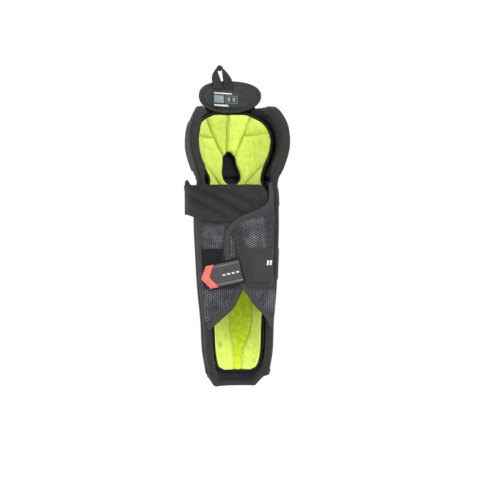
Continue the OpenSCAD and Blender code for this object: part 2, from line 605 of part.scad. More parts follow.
shin_shell();
shin_foam();
shin_backing_fabric();
left_side_wall();
right_side_wall();
left_wall_binding();
right_wall_binding();
bottom_lip();
shin_liner();
shin_liner_hooks();
shell_rivets();
upper_strap_anchor();
mid_strap_anchor();
upper_strap_landing();
knee_gusset();
knee_shell();
knee_foam();
knee_backing_fabric();
left_knee_wing();
right_knee_wing();
left_wing_piping();
right_wing_piping();
knee_liner();
knee_liner_hooks();
thigh_hinge_fabric();
thigh_pad();
thigh_plate();
thigh_piping();
size_label();
hang_loop();
left_wrap();
left_wrap_binding();
loop_landing();
right_wrap();
right_wrap_binding();
keeper_strip();
mid_elastic();
upper_strap_root();
upper_strap();
strap_hook_patch();
strap_pull();
tab_backing();
pull_tab();
tab_chevron();
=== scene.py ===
# Looks for the hockey shin guard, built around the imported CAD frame. Lengths are in millimetres until a mesh is made.
import bpy, bmesh, math
import numpy as np
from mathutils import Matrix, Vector, noise


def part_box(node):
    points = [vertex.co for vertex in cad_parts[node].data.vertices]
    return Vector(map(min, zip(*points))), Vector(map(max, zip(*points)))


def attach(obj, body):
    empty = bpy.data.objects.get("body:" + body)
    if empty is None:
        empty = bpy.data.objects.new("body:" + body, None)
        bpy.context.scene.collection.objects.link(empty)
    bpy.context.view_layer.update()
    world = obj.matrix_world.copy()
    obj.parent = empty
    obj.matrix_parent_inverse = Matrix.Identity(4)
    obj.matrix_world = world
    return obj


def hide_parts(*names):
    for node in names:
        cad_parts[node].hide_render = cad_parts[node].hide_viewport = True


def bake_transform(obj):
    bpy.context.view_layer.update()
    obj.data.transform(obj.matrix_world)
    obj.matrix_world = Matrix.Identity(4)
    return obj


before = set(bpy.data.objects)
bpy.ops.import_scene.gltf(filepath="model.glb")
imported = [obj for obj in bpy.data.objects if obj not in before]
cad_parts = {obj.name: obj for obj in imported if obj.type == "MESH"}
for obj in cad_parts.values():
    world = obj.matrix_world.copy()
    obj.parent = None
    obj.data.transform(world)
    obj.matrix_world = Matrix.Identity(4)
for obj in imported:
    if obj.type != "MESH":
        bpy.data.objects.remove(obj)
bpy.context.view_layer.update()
TAU = 2 * math.pi


# ---------------------------------------------------------------- surfaces
class Track:
    """A smooth value through stations, with level ends."""
    def __init__(self, *stations):
        self.x, self.y = np.array(stations, float).T
        self.m = np.zeros(len(self.x))
        self.m[1:-1] = (self.y[2:] - self.y[:-2]) / (self.x[2:] - self.x[:-2])

    def __call__(self, z):
        z = np.asarray(z, float)
        i = np.clip(np.searchsorted(self.x, z, side="left") - 1, 0, len(self.x) - 2)
        h = self.x[i + 1] - self.x[i]
        u = np.clip((z - self.x[i]) / h, 0, 1)
        return (self.y[i] * (1 + 2 * u) * (1 - u) ** 2 + self.y[i + 1] * u * u * (3 - 2 * u)
                + h * self.m[i] * u * (1 - u) ** 2 - h * self.m[i + 1] * u * u * (1 - u))


def mix(a, b, u):
    return a + (b - a) * u


def smooth(u):
    c = np.clip(u, 0, 1)
    return c * c * (3 - 2 * c)


def span(node, axis):
    """Lowest and highest coordinate of a CAD node along one axis, in millimetres."""
    lo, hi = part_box(node)
    return lo[axis] * 1000, hi[axis] * 1000


FRONT_SHARE, BLUNT = 0.66, 2.3
NECK_Z = span("shin_foam", 2)[1]
WALL_LOW_Z = span("left_side_wall", 2)[0] - 4
TOP_Z = span("left_wing_piping", 2)[1]
HALF_W = Track([0, 45.5], [30, 49.5], [60, 54], [105, 56], [156, 60.5], [206, 63], [257, 65], [300, 64.5],
               [326, 62.5], [345, 69], [370, 76.5], [388, 78], [410, 75.5], [428, 68.5], [442, 60.5])
FRONT_Y = Track([0, 40], [40, 45], [100, 51], [160, 57], [230, 62], [290, 63], [326, 62], [350, 70],
                [385, 76], [415, 70], [442, 60])
REAR_Y = Track([20, 21], [50, 30], [100, 37], [160, 42], [220, 44], [300, 42], [326, 41], [386, 45])
TWIST = math.radians(6)


def twist(z):
    """How far the guard is turned about its long axis at a height."""
    return TWIST * smooth((z - 300) / 60)


def turned(x, y, a):
    return x * np.cos(a) - y * np.sin(a), x * np.sin(a) + y * np.cos(a)


def section(s, z, inset):
    """The U section: s from -1 at the left rear edge, round the front, to 1 at the right rear edge."""
    s, z, inset = np.broadcast_arrays(np.asarray(s, float), np.asarray(z, float), np.asarray(inset, float))
    w, f, r = HALF_W(z) - inset, FRONT_Y(z) - inset, REAR_Y(z)
    a = np.radians(90 * np.clip(s, -FRONT_SHARE, FRONT_SHARE) / FRONT_SHARE)
    u = np.clip((np.abs(s) - FRONT_SHARE) / (1 - FRONT_SHARE), 0, 2)
    curl = 4 * (1 - smooth((z - 300) / 50))
    front = np.abs(s) <= FRONT_SHARE
    x = np.where(front, w * np.sign(s) * np.abs(np.sin(a)) ** (2 / BLUNT), np.sign(s) * (w - curl * u * u))
    y = np.where(front, f * np.abs(np.cos(a)) ** (2 / BLUNT), -r * u)
    x, y = turned(x, y, twist(z))
    return np.stack([x, y, z], -1)


def rim_z(s):
    c = np.minimum(np.abs(s), FRONT_SHARE)
    x = section(c, 0 * c, 0)[..., 0]
    return np.clip(np.where(s > 0, (x - 31.5) * 1.45, (x - 38.5) * 2.2), 0, WALL_LOW_Z)


def wing_top_z(s):
    u = np.clip((np.abs(s) - FRONT_SHARE) / (1 - FRONT_SHARE), 0, 1)
    return np.where(np.abs(s) <= FRONT_SHARE, mix(TOP_Z - 6, TOP_Z, smooth(np.abs(s) / 0.32)),
                    386 + (TOP_Z - 386) * np.sqrt(1 - 0.96 * u * u))


def knee_low_z(s):
    y = section(s, 0 * s + NECK_Z, 0)[..., 1]
    return NECK_Z + 3 + 0.115 * np.maximum(0, 5 - y) + 0.065 * np.maximum(0, y - 5)


def wall_x(z, side=-1):
    """Where a wrap is sewn to its wall; the right one nearer the wall's inner face."""
    return HALF_W(z) - 5 - (7 * smooth((np.asarray(z, float) - 130) / 60) if side > 0 else 0)


def calf_y(x, z, out):
    return -(REAR_Y(z) + 3 + out + 13 * (1 - np.clip(x / 60.5, -1, 1) ** 2))


def calf(x, z, out):
    x, z = np.broadcast_arrays(np.asarray(x, float), np.asarray(z, float))
    return np.stack([x, calf_y(x, z, out), z], -1)


RIGHT_EDGE = Track([90, 50], [97, 46.5], [111, 40], [136, 18.5], [156, 5.5], [175, -13], [197, -21.5], [221, -24],
                   [245, -21], [258, -11.5], [268, 1], [279, 30], [291, 44.5], [318, 46])
LEFT_EDGE = Track([86, -50], [92, -46.5], [99, -40], [112, -26], [129, -9], [152, 2.5], [170, 10], [200, 14], [230, 8],
                  [256, -6], [272, -24])
WRAP_T, UNDER_R = 3.5, 4.5
OVER_R = UNDER_R + WRAP_T + 0.6


def low_dip(z):
    """How much nearer the leg the wraps lie towards their lower ends."""
    return 5.5 * smooth((124 - z) / 40)


# ---------------------------------------------------------------- meshes
def spread(a, b, n, rim=0.0, k=5):
    """n + 1 values from a to b, with k more over the rounded rim at each end."""
    if rim <= 0:
        return np.linspace(a, b, n + 1)
    sign = 1 if b > a else -1
    ends = sign * rim * (1 - np.cos(np.linspace(0, math.pi / 2, k + 1)))
    return np.concatenate([a + ends[:-1], np.linspace(a + sign * rim, b - sign * rim, n + 1), (b - ends[:-1])[::-1]])


def dome(d, reach):
    """0 at a border, rising in a quarter circle to 1 at reach from it."""
    c = np.clip(d / reach, 0, 1)
    return np.sqrt(np.clip(1 - (1 - c) ** 2, 0, 1))


def run_of(path):
    """Distance along a path of points, in millimetres, at each of them."""
    return np.concatenate([[0], np.cumsum(np.linalg.norm(np.diff(path, axis=0), axis=1))])


def resample(path, step):
    path = np.asarray(path, float)
    d = run_of(path)
    n = max(2, int(round(d[-1] / step)) + 1)
    t = np.linspace(0, d[-1], n)
    return np.stack([np.interp(t, d, path[:, i]) for i in range(path.shape[1])], 1)


def eased(path, times):
    """A path with its corners rounded off, in place."""
    for _ in range(times):
        path[1:-1] = (path[:-2] + 2 * path[1:-1] + path[2:]) / 4
    return path


def inward_of(path):
    """Unit normals of a plane path, to its right."""
    tangent = np.gradient(path, axis=0)
    tangent /= np.linalg.norm(tangent, axis=1, keepdims=True)
    return np.stack([tangent[:, 1], -tangent[:, 0]], 1)


def cell_mean(q):
    """The mean of a grid's values at the four corners of each of its faces."""
    return (q[:-1, :-1] + q[1:, :-1] + q[:-1, 1:] + q[1:, 1:]) / 4


def normals(p):
    """Unit normals of a grid p[row][column], on the side from which rows go up and columns go left to right."""
    du = np.gradient(p, axis=1)
    dv = np.gradient(p, axis=0)
    n = np.cross(du, dv)
    return n / np.maximum(np.linalg.norm(n, axis=-1, keepdims=True), 1e-9)


def lengths(p):
    """Distance in millimetres along a grid's rows from its first column, and along its columns from its first row."""
    du = np.linalg.norm(np.diff(p, axis=1), axis=-1)
    dv = np.linalg.norm(np.diff(p, axis=0), axis=-1)
    u = np.concatenate([np.zeros((p.shape[0], 1)), np.cumsum(du, 1)], 1)
    v = np.concatenate([np.zeros((1, p.shape[1])), np.cumsum(dv, 0)], 0)
    return u, v


def rounding(p, rim, sides="lrbt"):
    """0 at the chosen borders of a grid, rising in a quarter circle to 1 at the rim's distance from them."""
    u, v = lengths(p)
    f = np.ones(p.shape[:2])
    for name, d in (("l", u), ("r", u[:, -1:] - u), ("b", v), ("t", v[-1:] - v)):
        if name in sides:
            f = f * dome(d, rim)
    return f


def rumple(p, scale, seed=0.0):
    """Smooth noise between about -1 and 1 at each point of a grid."""
    q = p.reshape(-1, 3) / scale + seed
    return np.array([noise.noise(Vector(t)) for t in q]).reshape(p.shape[:-1])


def mesh_object(name, points, faces, uv, mats, face_mats=None, attributes=()):
    """A mesh from points in millimetres. uv holds a pair for each point, in millimetres along the cloth, and the mesh
    keeps it in centimetres."""
    me = bpy.data.meshes.new(name)
    me.from_pydata((np.asarray(points) * 0.001).tolist(), [], faces)
    layer = me.uv_layers.new(name="UVMap")
    index = np.empty(len(me.loops), int)
    me.loops.foreach_get("vertex_index", index)
    layer.data.foreach_set("uv", (np.asarray(uv)[index] * 0.1).astype(np.float32).ravel())
    for m in mats if isinstance(mats, (list, tuple)) else [mats]:
        me.materials.append(m)
    if face_mats is not None:
        me.polygons.foreach_set("material_index", np.asarray(face_mats, np.int32))
    for label, values in attributes:
        me.attributes.new(label, "FLOAT", "POINT").data.foreach_set("value", np.asarray(values, np.float32).ravel())
    me.polygons.foreach_set("use_smooth", [True] * len(me.polygons))
    me.update()
    ob = bpy.data.objects.new(name, me)
    bpy.context.scene.collection.objects.link(ob)
    return ob


def grid_faces(ids, flip=False):
    a, b = ids[:-1, :-1], ids[:-1, 1:]
    c, d = ids[1:, 1:], ids[1:, :-1]
    q = np.stack([a, b, c, d], -1).reshape(-1, 4)
    return (q[:, ::-1] if flip else q).tolist()


def pad(name, p, out, inn, rim, mats, attributes=(), sides="lrbt", n=None, uv_from=None):
    """A closed padded piece around a grid of middle points p[row][column]: out and inn are its thickness to the side
    that its normals face and to the other, and its borders are rounded over rim. uv_from is where the weave starts."""
    nv, nu = p.shape[:2]
    n = normals(p) if n is None else n
    f = rounding(p, rim, sides)
    top = p + n * (out * f)[..., None]
    low = p - n * (inn * f)[..., None]
    u, v = lengths(p)
    ids = np.arange(nv * nu).reshape(nv, nu)
    on_edge = f < 1e-6
    inner_ids = np.where(on_edge, ids, ids + nv * nu)
    faces = grid_faces(ids)
    mats_of = [0] * len(faces)
    back = grid_faces(inner_ids, True)
    faces += back
    mats_of += [1 if isinstance(mats, (list, tuple)) and len(mats) > 1 else 0] * len(back)
    for row, a, b in (("b", ids[0], inner_ids[0]), ("t", ids[-1][::-1], inner_ids[-1][::-1]),
                      ("l", ids[:, 0][::-1], inner_ids[:, 0][::-1]), ("r", ids[:, -1], inner_ids[:, -1])):
        if row not in sides:
            wall = [[b[i], b[i + 1], a[i + 1], a[i]] for i in range(len(a) - 1) if a[i] != b[i] or a[i + 1] != b[i + 1]]
            wall = [[q for k, q in enumerate(w) if q not in w[:k]] for w in wall]
            faces += wall
            mats_of += [0] * len(wall)
    points = np.concatenate([top.reshape(-1, 3), low.reshape(-1, 3)])
    if uv_from is not None:
        u, v = u + uv_from, p[..., 2]
    uv = np.stack([u, v], -1).reshape(-1, 2)
    attributes = [(k, np.concatenate([a.ravel(), a.ravel()])) for k, a in attributes]
    ob = mesh_object(name, points, faces, np.concatenate([uv, uv]), mats, mats_of, attributes)
    if on_edge.any():
        bm = bmesh.new()
        bm.from_mesh(ob.data)
        bmesh.ops.delete(bm, geom=[v for v in bm.verts if not v.link_faces], context="VERTS")
        bm.to_mesh(ob.data)
        bm.free()
    return ob


def paint(ob, front):
    """Gives each face on the side that a pad's normals face its material's number, and the rest the first material."""
    index = np.zeros(len(ob.data.polygons), np.int32)
    index[:front.size] = front.ravel()
    ob.data.polygons.foreach_set("material_index", index)


def plan_uv(ob):
    """Cloth coordinates from the calf view, so that a weave runs straight through."""
    co = np.array([v.co[:] for v in ob.data.vertices]) * 1000
    index = np.empty(len(ob.data.loops), int)
    ob.data.loops.foreach_get("vertex_index", index)
    ob.data.uv_layers[0].data.foreach_set("uv", (co[index][:, [0, 2]] * 0.1).astype(np.float32).ravel())


def stitches(name, paths, mat, pitch=3.4, share=0.62, r=0.34):
    """Rows of sewn thread: a small rounded capsule for each stitch along each path of points."""
    points, faces, uv = [], [], []
    sides = 6
    for path in paths:
        q = resample(path, pitch / 4)
        for k in range(0, len(q) - 4, 4):
            a, b = q[k], q[min(len(q) - 1, k + 4)]
            d = b - a
            size = np.linalg.norm(d)
            if size < 1e-6:
                continue
            d = d / size
            b = a + d * size * share
            side = np.cross(d, [0.0, 0.0, 1.0] if abs(d[2]) < 0.9 else [1.0, 0.0, 0.0])
            side /= np.linalg.norm(side)
            up = np.cross(side, d)
            base = len(points)
            for t, w in ((0, 0.45), (0.2, 1), (0.8, 1), (1, 0.45)):
                for j in range(sides):
                    ang = TAU * j / sides
                    points.append(mix(a, b, t) + r * w * (side * math.cos(ang) + up * math.sin(ang)))
                    uv.append([j, t * 3])
            for ring in range(3):
                for j in range(sides):
                    j2 = (j + 1) % sides
                    faces.append([base + ring * sides + j, base + ring * sides + j2,
                                  base + (ring + 1) * sides + j2, base + (ring + 1) * sides + j])
            faces.append([base + j for j in range(sides)][::-1])
            faces.append([base + 3 * sides + j for j in range(sides)])
    return mesh_object(name, np.array(points), faces, np.array(uv), mat)


# ---------------------------------------------------------------- materials
class Nodes:
    """Short names for building one material's node tree."""
    def __init__(self, name):
        self.mat = bpy.data.materials.new(name)
        self.mat.use_nodes = True
        self.tree = self.mat.node_tree
        self.bsdf = next(n for n in self.tree.nodes if n.type == "BSDF_PRINCIPLED")

    def put(self, socket, value):
        if isinstance(value, bpy.types.NodeSocket):
            self.tree.links.new(value, socket)
        elif isinstance(value, (tuple, list)) and len(value) == 3 and socket.type == "RGBA":
            socket.default_value = (*value, 1)
        else:
            socket.default_value = value

    def node(self, kind, out=0, props=(), **inputs):
        n = self.tree.nodes.new(kind)
        for k, v in dict(props).items():
            setattr(n, k, v)
        for k, v in inputs.items():
            key = int(k[1:]) if k[0] == "i" and k[1:].isdigit() else k.replace("_", " ")
            self.put(n.inputs[key], v)
        return n.outputs[out]

    def math(self, op, a, b=0.0, c=0.0):
        return self.node("ShaderNodeMath", props={"operation": op}, i0=a, i1=b, i2=c)

    def uv(self):
        return self.node("ShaderNodeUVMap", props={"uv_map": "UVMap"})

    def split(self, vector):
        n = self.tree.nodes.new("ShaderNodeSeparateXYZ")
        self.put(n.inputs[0], vector)
        return n.outputs[0], n.outputs[1]

    def noise(self, vector, scale, detail=2.0, rough=0.5):
        return self.node("ShaderNodeTexNoise", Vector=vector, Scale=scale, Detail=detail, Roughness=rough)

    def attribute(self, name):
        return self.node("ShaderNodeAttribute", 2, props={"attribute_name": name})

    def ramp(self, value, low, high):
        n = self.tree.nodes.new("ShaderNodeMapRange")
        n.interpolation_type = "SMOOTHSTEP"
        self.put(n.inputs[0], value)
        n.inputs[1].default_value, n.inputs[2].default_value = low, high
        return n.outputs[0]

    def blend(self, factor, a, b):
        n = self.tree.nodes.new("ShaderNodeMix")
        n.data_type = "RGBA"
        self.put(n.inputs[0], factor)
        self.put(n.inputs[6], a)
        self.put(n.inputs[7], b)
        return n.outputs[2]

    def lattice(self, vector, pitch):
        """Distance to the nearest point of a triangular lattice, as a share of its pitch; pitch in centimetres."""
        x, y = self.split(vector)
        row = pitch * math.sqrt(3)
        found = []
        for ox, oy in ((0.0, 0.0), (0.5, 0.5)):
            gx = self.math("SUBTRACT", self.math("FRACT", self.math("MULTIPLY_ADD", x, 1 / pitch, ox)), 0.5)
            gy = self.math("SUBTRACT", self.math("FRACT", self.math("MULTIPLY_ADD", y, 1 / row, oy)), 0.5)
            gy = self.math("MULTIPLY", gy, math.sqrt(3))
            squares = [self.math("MULTIPLY", g, g) for g in (gx, gy)]
            found.append(self.math("SQRT", self.math("ADD", *squares)))
        return self.math("MINIMUM", found[0], found[1])

    def weave(self, vector, pitch):
        """Height of a plain weave with that thread pitch in centimetres, 0 to 1."""
        x, y = self.split(vector)
        a = self.math("SINE", self.math("MULTIPLY", x, TAU / pitch))
        b = self.math("SINE", self.math("MULTIPLY", y, TAU / pitch))
        return self.math("MULTIPLY_ADD", self.math("MULTIPLY", a, b), 0.5, 0.5)

    def ribs(self, vector, pitch, axis=0):
        """Height of parallel ribs, 0 to 1."""
        wave = self.math("SINE", self.math("MULTIPLY", self.split(vector)[axis], TAU / pitch))
        return self.math("MULTIPLY_ADD", wave, 0.5, 0.5)

    def done(self, colour, rough, heights=(), sheen=0.0, metallic=0.0, specular=0.5, coat=0.0):
        """heights are (height, distance in millimetres) pairs, bumped one over the other."""
        self.put(self.bsdf.inputs["Base Color"], colour)
        self.put(self.bsdf.inputs["Roughness"], rough)
        self.bsdf.inputs["Metallic"].default_value = metallic
        self.bsdf.inputs["Specular IOR Level"].default_value = specular
        self.bsdf.inputs["Sheen Weight"].default_value = sheen
        self.bsdf.inputs["Sheen Roughness"].default_value = 0.5
        self.bsdf.inputs["Coat Weight"].default_value = coat
        last = None
        for height, distance in heights:
            n = self.tree.nodes.new("ShaderNodeBump")
            self.put(n.inputs["Height"], height)
            n.inputs["Strength"].default_value = 1.0
            n.inputs["Distance"].default_value = distance * 0.001
            if last is not None:
                self.tree.links.new(last, n.inputs["Normal"])
            last = n.outputs[0]
        if last is not None:
            self.tree.links.new(last, self.bsdf.inputs["Normal"])
        return self.mat


def scaled(c, k):
    return tuple(min(1.0, v * k) for v in c)


def cloth(name, colour, pitch=0.11, bump=0.18, vary=0.3, sheen=0.25, rough=0.85, wrinkle=0.5):
    n = Nodes(name)
    uv = n.uv()
    weave = n.weave(uv, pitch)
    cloud = n.noise(uv, 1.1, 4.0, 0.6)
    fine = n.noise(uv, 9.0, 2.0, 0.6)
    tone = n.math("MULTIPLY_ADD", weave, 0.35, n.math("MULTIPLY", cloud, 0.65))
    col = n.blend(n.ramp(tone, 0.2, 0.8), scaled(colour, 1 - vary), scaled(colour, 1 + vary))
    # painted shade: the colour darkens towards a quarter of itself where the seam attribute is set, in the strap's fold
    # valleys
    col = n.blend(n.attribute("seam"), col, scaled(colour, 0.25))
    return n.done(col, n.math("MULTIPLY_ADD", fine, 0.15, rough - 0.1),
                  ((weave, bump), (fine, 0.12), (cloud, wrinkle)), sheen=sheen, specular=0.25)


def tape(name, colour, pitch=0.14, axis=1, bump=0.22):
    n = Nodes(name)
    uv = n.uv()
    rib = n.ribs(uv, pitch, axis)
    cloud = n.noise(uv, 2.0, 3.0, 0.6)
    col = n.blend(n.ramp(n.math("MULTIPLY_ADD", rib, 0.5, n.math("MULTIPLY", cloud, 0.5)), 0.15, 0.85),
                  scaled(colour, 0.68), scaled(colour, 1.3))
    return n.done(col, n.math("MULTIPLY_ADD", cloud, 0.2, 0.62), ((rib, bump), (cloud, 0.25)), sheen=0.05,
                  specular=0.25)


def pile(name, colour, grain=14.0, bump=0.9):
    """Hook-and-loop pile."""
    n = Nodes(name)
    uv = n.uv()
    fuzz = n.noise(uv, grain, 4.0, 0.75)
    cloud = n.noise(uv, 1.6, 3.0, 0.6)
    col = n.blend(n.ramp(n.math("MULTIPLY_ADD", fuzz, 0.6, n.math("MULTIPLY", cloud, 0.4)), 0.35, 0.65),
                  scaled(colour, 0.5), scaled(colour, 1.7))
    return n.done(col, 0.95, ((fuzz, bump), (cloud, 0.5)), sheen=0.1, specular=0.1)


def plastic(name, colour, rough=0.42, grain=26.0, coat=0.0):
    n = Nodes(name)
    uv = n.uv()
    fine = n.noise(uv, grain, 3.0, 0.6)
    wear = n.noise(uv, 0.9, 5.0, 0.65)
    col = n.blend(n.ramp(wear, 0.35, 0.75), scaled(colour, 0.85), scaled(colour, 1.35))
    return n.done(col, n.math("MULTIPLY_ADD", wear, 0.28, rough - 0.14), ((fine, 0.05), (wear, 0.1)), coat=coat)


def printed_cloth():
    """Wrap cloth: dark knit with a light lattice of dots that fades where the attribute print does."""
    n = Nodes("wrap_cloth")
    uv = n.uv()
    weave = n.weave(uv, 0.1)
    cloud = n.noise(uv, 1.3, 4.0, 0.6)
    worn = n.noise(uv, 3.2, 3.0, 0.6)
    sx, sy = n.split(uv)
    turned_uv = n.node("ShaderNodeCombineXYZ", X=sy, Y=sx)
    d = n.lattice(turned_uv, 0.36)
    reach = n.math("MULTIPLY_ADD", n.attribute("print"), 0.33, n.math("MULTIPLY_ADD", worn, 0.3, -0.2))
    dot = n.ramp(n.math("SUBTRACT", reach, d), -0.05, 0.06)
    ground = n.blend(n.ramp(cloud, 0.3, 0.7), (0.014, 0.015, 0.018), (0.027, 0.028, 0.032))
    col = n.blend(n.math("MULTIPLY", dot, 0.9), ground, (0.21, 0.22, 0.23))
    return n.done(col, n.math("MULTIPLY_ADD", weave, 0.15, 0.72), ((weave, 0.15), (dot, 0.2), (cloud, 0.6)),
                  sheen=0.05, specular=0.3)


def spacer_mesh(name, colour, pitch, hole=0.3, deep=0.35, dark=0.3):
    """Open mesh cloth: dark holes on a triangular lattice."""
    n = Nodes(name)
    uv = n.uv()
    d = n.lattice(uv, pitch)
    solid = n.ramp(d, hole - 0.07, hole + 0.09)
    cloud = n.noise(uv, 1.4, 4.0, 0.6)
    thread = n.blend(n.ramp(cloud, 0.3, 0.7), scaled(colour, 0.88), scaled(colour, 1.18))
    col = n.blend(solid, scaled(colour, dark), thread)
    return n.done(col, 0.85, ((solid, deep), (cloud, 0.5)), sheen=0.06, specular=0.2)


def quilted(name, colour, deep):
    n = Nodes(name)
    uv = n.uv()
    twill = n.ribs(uv, 0.12, 0)
    weave = n.weave(uv, 0.09)
    cloud = n.noise(uv, 1.2, 5.0, 0.62)
    crease = n.noise(uv, 3.4, 4.0, 0.7)
    col = n.blend(n.ramp(cloud, 0.3, 0.75), deep, colour)
    # painted shade: a deep green where the seam attribute is set, in the liners' seam grooves
    col = n.blend(n.attribute("seam"), col, (0.36, 0.52, 0.02))
    return n.done(col, n.math("MULTIPLY_ADD", weave, 0.12, 0.78),
                  ((twill, 0.08), (weave, 0.1), (crease, 0.7), (cloud, 1.2)), sheen=0.15, specular=0.2)


OUTER = cloth("outer_cloth", (0.011, 0.012, 0.014), pitch=0.13, sheen=0.05)
INNER = cloth("inner_cloth", (0.011, 0.012, 0.014), pitch=0.09, sheen=0.06)
WING_IN = cloth("wing_lining", (0.019, 0.021, 0.018), pitch=0.1, sheen=0.06, wrinkle=0.8)
RIM = cloth("rim_cloth", (0.018, 0.019, 0.018), pitch=0.12, sheen=0.06)
TAPE = tape("binding_tape", (0.034, 0.034, 0.035))
TAPE_DARK = tape("wall_tape", (0.021, 0.021, 0.022))
PIPING = tape("piping_tape", (0.008, 0.009, 0.011), pitch=0.1)
WRAP = printed_cloth()
LINER = quilted("liner_cloth", (0.85, 0.97, 0.23), (0.70, 0.87, 0.09))
LINER_MESH = spacer_mesh("liner_mesh", (0.62, 0.80, 0.03), 0.2, 0.16, 0.15, 0.62)
LOBE = spacer_mesh("thigh_mesh", (0.036, 0.038, 0.034), 0.2, 0.2, 0.22)
STRAP = cloth("strap_cloth", (0.019, 0.019, 0.020), pitch=0.08, sheen=0.06, wrinkle=0.9)
ELASTIC = tape("elastic", (0.026, 0.026, 0.027), pitch=0.17, axis=1, bump=0.3)
WEBBING = tape("webbing", (0.021, 0.021, 0.022), pitch=0.2, axis=1, bump=0.4)
PILE = pile("loop_pile", (0.009, 0.009, 0.011))
FOAM = cloth("foam_skin", (0.022, 0.022, 0.024), pitch=0.16, sheen=0.05)
SHELL = plastic("shell_plastic", (0.022, 0.022, 0.024), 0.4, coat=0.15)
SHELL_ALT = plastic("shell_panel", (0.075, 0.077, 0.082), 0.5)
RUBBER = plastic("tab_rubber", (0.026, 0.026, 0.027), 0.5, 34.0)
RUBBER_EDGE = plastic("tab_bevel", (0.13, 0.13, 0.135), 0.45, 34.0)
CORAL = plastic("tab_coral", (0.93, 0.10, 0.085), 0.5, 30.0)
THREAD = tape("thread_dark", (0.022, 0.022, 0.023), pitch=0.05)
THREAD_LIGHT = tape("thread_grey", (0.055, 0.055, 0.057), pitch=0.05)
THREAD_LIME = tape("thread_lime", (0.42, 0.62, 0.03), pitch=0.05)
LABEL = plastic("label_base", (0.007, 0.007, 0.008), 0.6)
LABEL_LIGHT = plastic("label_light", (0.55, 0.57, 0.57), 0.6)
LABEL_TEAL = plastic("label_teal", (0.17, 0.22, 0.225), 0.6)


def rivet_metal():
    n = Nodes("rivet_metal")
    uv = n.uv()
    ring = n.ribs(uv, 0.03, 1)
    cloud = n.noise(uv, 8.0, 3.0, 0.6)
    return n.done(n.blend(cloud, (0.3, 0.3, 0.32), (0.55, 0.55, 0.57)), n.math("MULTIPLY_ADD", cloud, 0.25, 0.25),
                  ((ring, 0.04),), metallic=1.0)


STEEL = rivet_metal()


def give(ob, body=None, nodes=(), between=None):
    """Parents a piece to the body it rides on, or bakes its transform in place when it lies between two bodies, and
    hides the CAD nodes it stands for."""
    if between:
        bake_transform(ob)
    else:
        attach(ob, body)
    if nodes:
        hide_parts(*([nodes] if isinstance(nodes, str) else nodes))
    return ob


KNEE_BEND = ("shin", "knee", (0, 0, 318), (0, 0, 337))


# ---------------------------------------------------------------- sides: walls and wings in one padded skin
def s_of(a, z, side):
    """Section parameter of a point a millimetres in front of the rear edge."""
    r, f = REAR_Y(z), FRONT_Y(z)
    y = a - r
    front = FRONT_SHARE - (np.clip(y, 0, None) / f) ** 1.15 / 2.38
    return side * np.where(y <= 0, FRONT_SHARE + (1 - FRONT_SHARE) * -y / r, front)


def side_t(z):
    return mix(10, 13, smooth((z - 322) / 25)) - 2.2 * np.exp(-((z - 327) / 7.0) ** 2)


def build_side(side, tag):
    s = side * spread(1.0, 0.64, 34, 0.1, 6)
    if side < 0:
        s = s[::-1]
    v = spread(0, 1, 150, 0.012, 4)[:, None]
    z = mix(WALL_LOW_Z + 3, wing_top_z(s)[None, :], v)
    t = side_t(z)
    p = section(s[None, :], z, t / 2)
    n = normals(p)
    lump = rumple(p, 34, side * 3.0) * 0.7 + rumple(p, 11, 5.0) * 0.22
    hollow = 3.0 * smooth((z - 345) / 30) * np.exp(-((np.abs(s)[None, :] - 0.8) / 0.1) ** 2)
    ob = pad(tag + "_side_padding", p, t / 2 + lump * 0.5, t / 2 + lump - hollow, 5.5, [OUTER, WING_IN], n=n)
    give(ob, nodes=(tag + "_side_wall", tag + "_knee_wing"), between=KNEE_BEND)

    # binding round the rim: up the rear edge and over the wing's top
    up = [(0.0, z) for z in np.linspace(WALL_LOW_Z + 2, 392, 60)]
    a = np.concatenate([np.linspace(0.3, 12, 14), np.linspace(14, 100, 30)])
    over = [(k, float(wing_top_z(np.abs(s_of(np.array(k), np.array(430.0), 1))))) for k in a]
    path = eased(resample(np.array(up + over), 2.0), 6)
    inward = inward_of(path)
    curl = -0.7 + 5.5 * (1 - np.cos(np.linspace(0, math.pi / 2, 8)))
    w = np.unique(np.round(np.concatenate([curl, np.linspace(5.6, 8.4, 4)]), 4))
    q = path[:, None, :] + inward[:, None, :] * w[None, :, None]
    ss = s_of(q[..., 0], q[..., 1], side)
    tt = side_t(q[..., 1])
    grid = section(ss, q[..., 1], tt / 2)
    if side > 0:
        grid, tt = grid[:, ::-1], tt[:, ::-1]
    n = normals(grid)
    u = lengths(grid)[0]
    f = dome(u if side < 0 else u[:, -1:] - u, 6.0)
    pucker = rumple(grid, 5, 2.0) * 0.2
    thick = (tt / 2 + 0.75 + pucker) * f
    ob = pad(tag + "_rim_binding", grid, thick, thick, 0.01, RIM, n=n, sides="")
    give(ob, nodes=(tag + "_wall_binding", tag + "_wing_piping"), between=KNEE_BEND)
    line = path + inward * 7.2
    s_l, z_l = s_of(line[:, 0], line[:, 1], side), line[:, 1]
    inner = section(s_l, z_l, side_t(z_l) + 1.1)
    outer = section(s_l, z_l, -1.1)
    ob = stitches(tag + "_rim_stitches", [inner, outer], THREAD)
    give(ob, between=KNEE_BEND)


build_side(-1, "left")
build_side(1, "right")


# ---------------------------------------------------------------- shin and knee: foam pads under the shells
def build_front(name, reach, low, high, nodes, body, t=11.0):
    s = spread(reach, -reach, 60, 0.05, 5)
    v = spread(0, 1, 70, 0.02, 4)[:, None]
    z = mix(low(s)[None, :], high(s)[None, :], v)
    p = section(s[None, :], z, t / 2 + 0.4)
    soft = rumple(p, 30, 1.0) * 0.35
    ob = pad(name, p, t / 2, t / 2 + 0.6 + soft, 4.0, [FOAM, INNER])
    return give(ob, body, nodes)


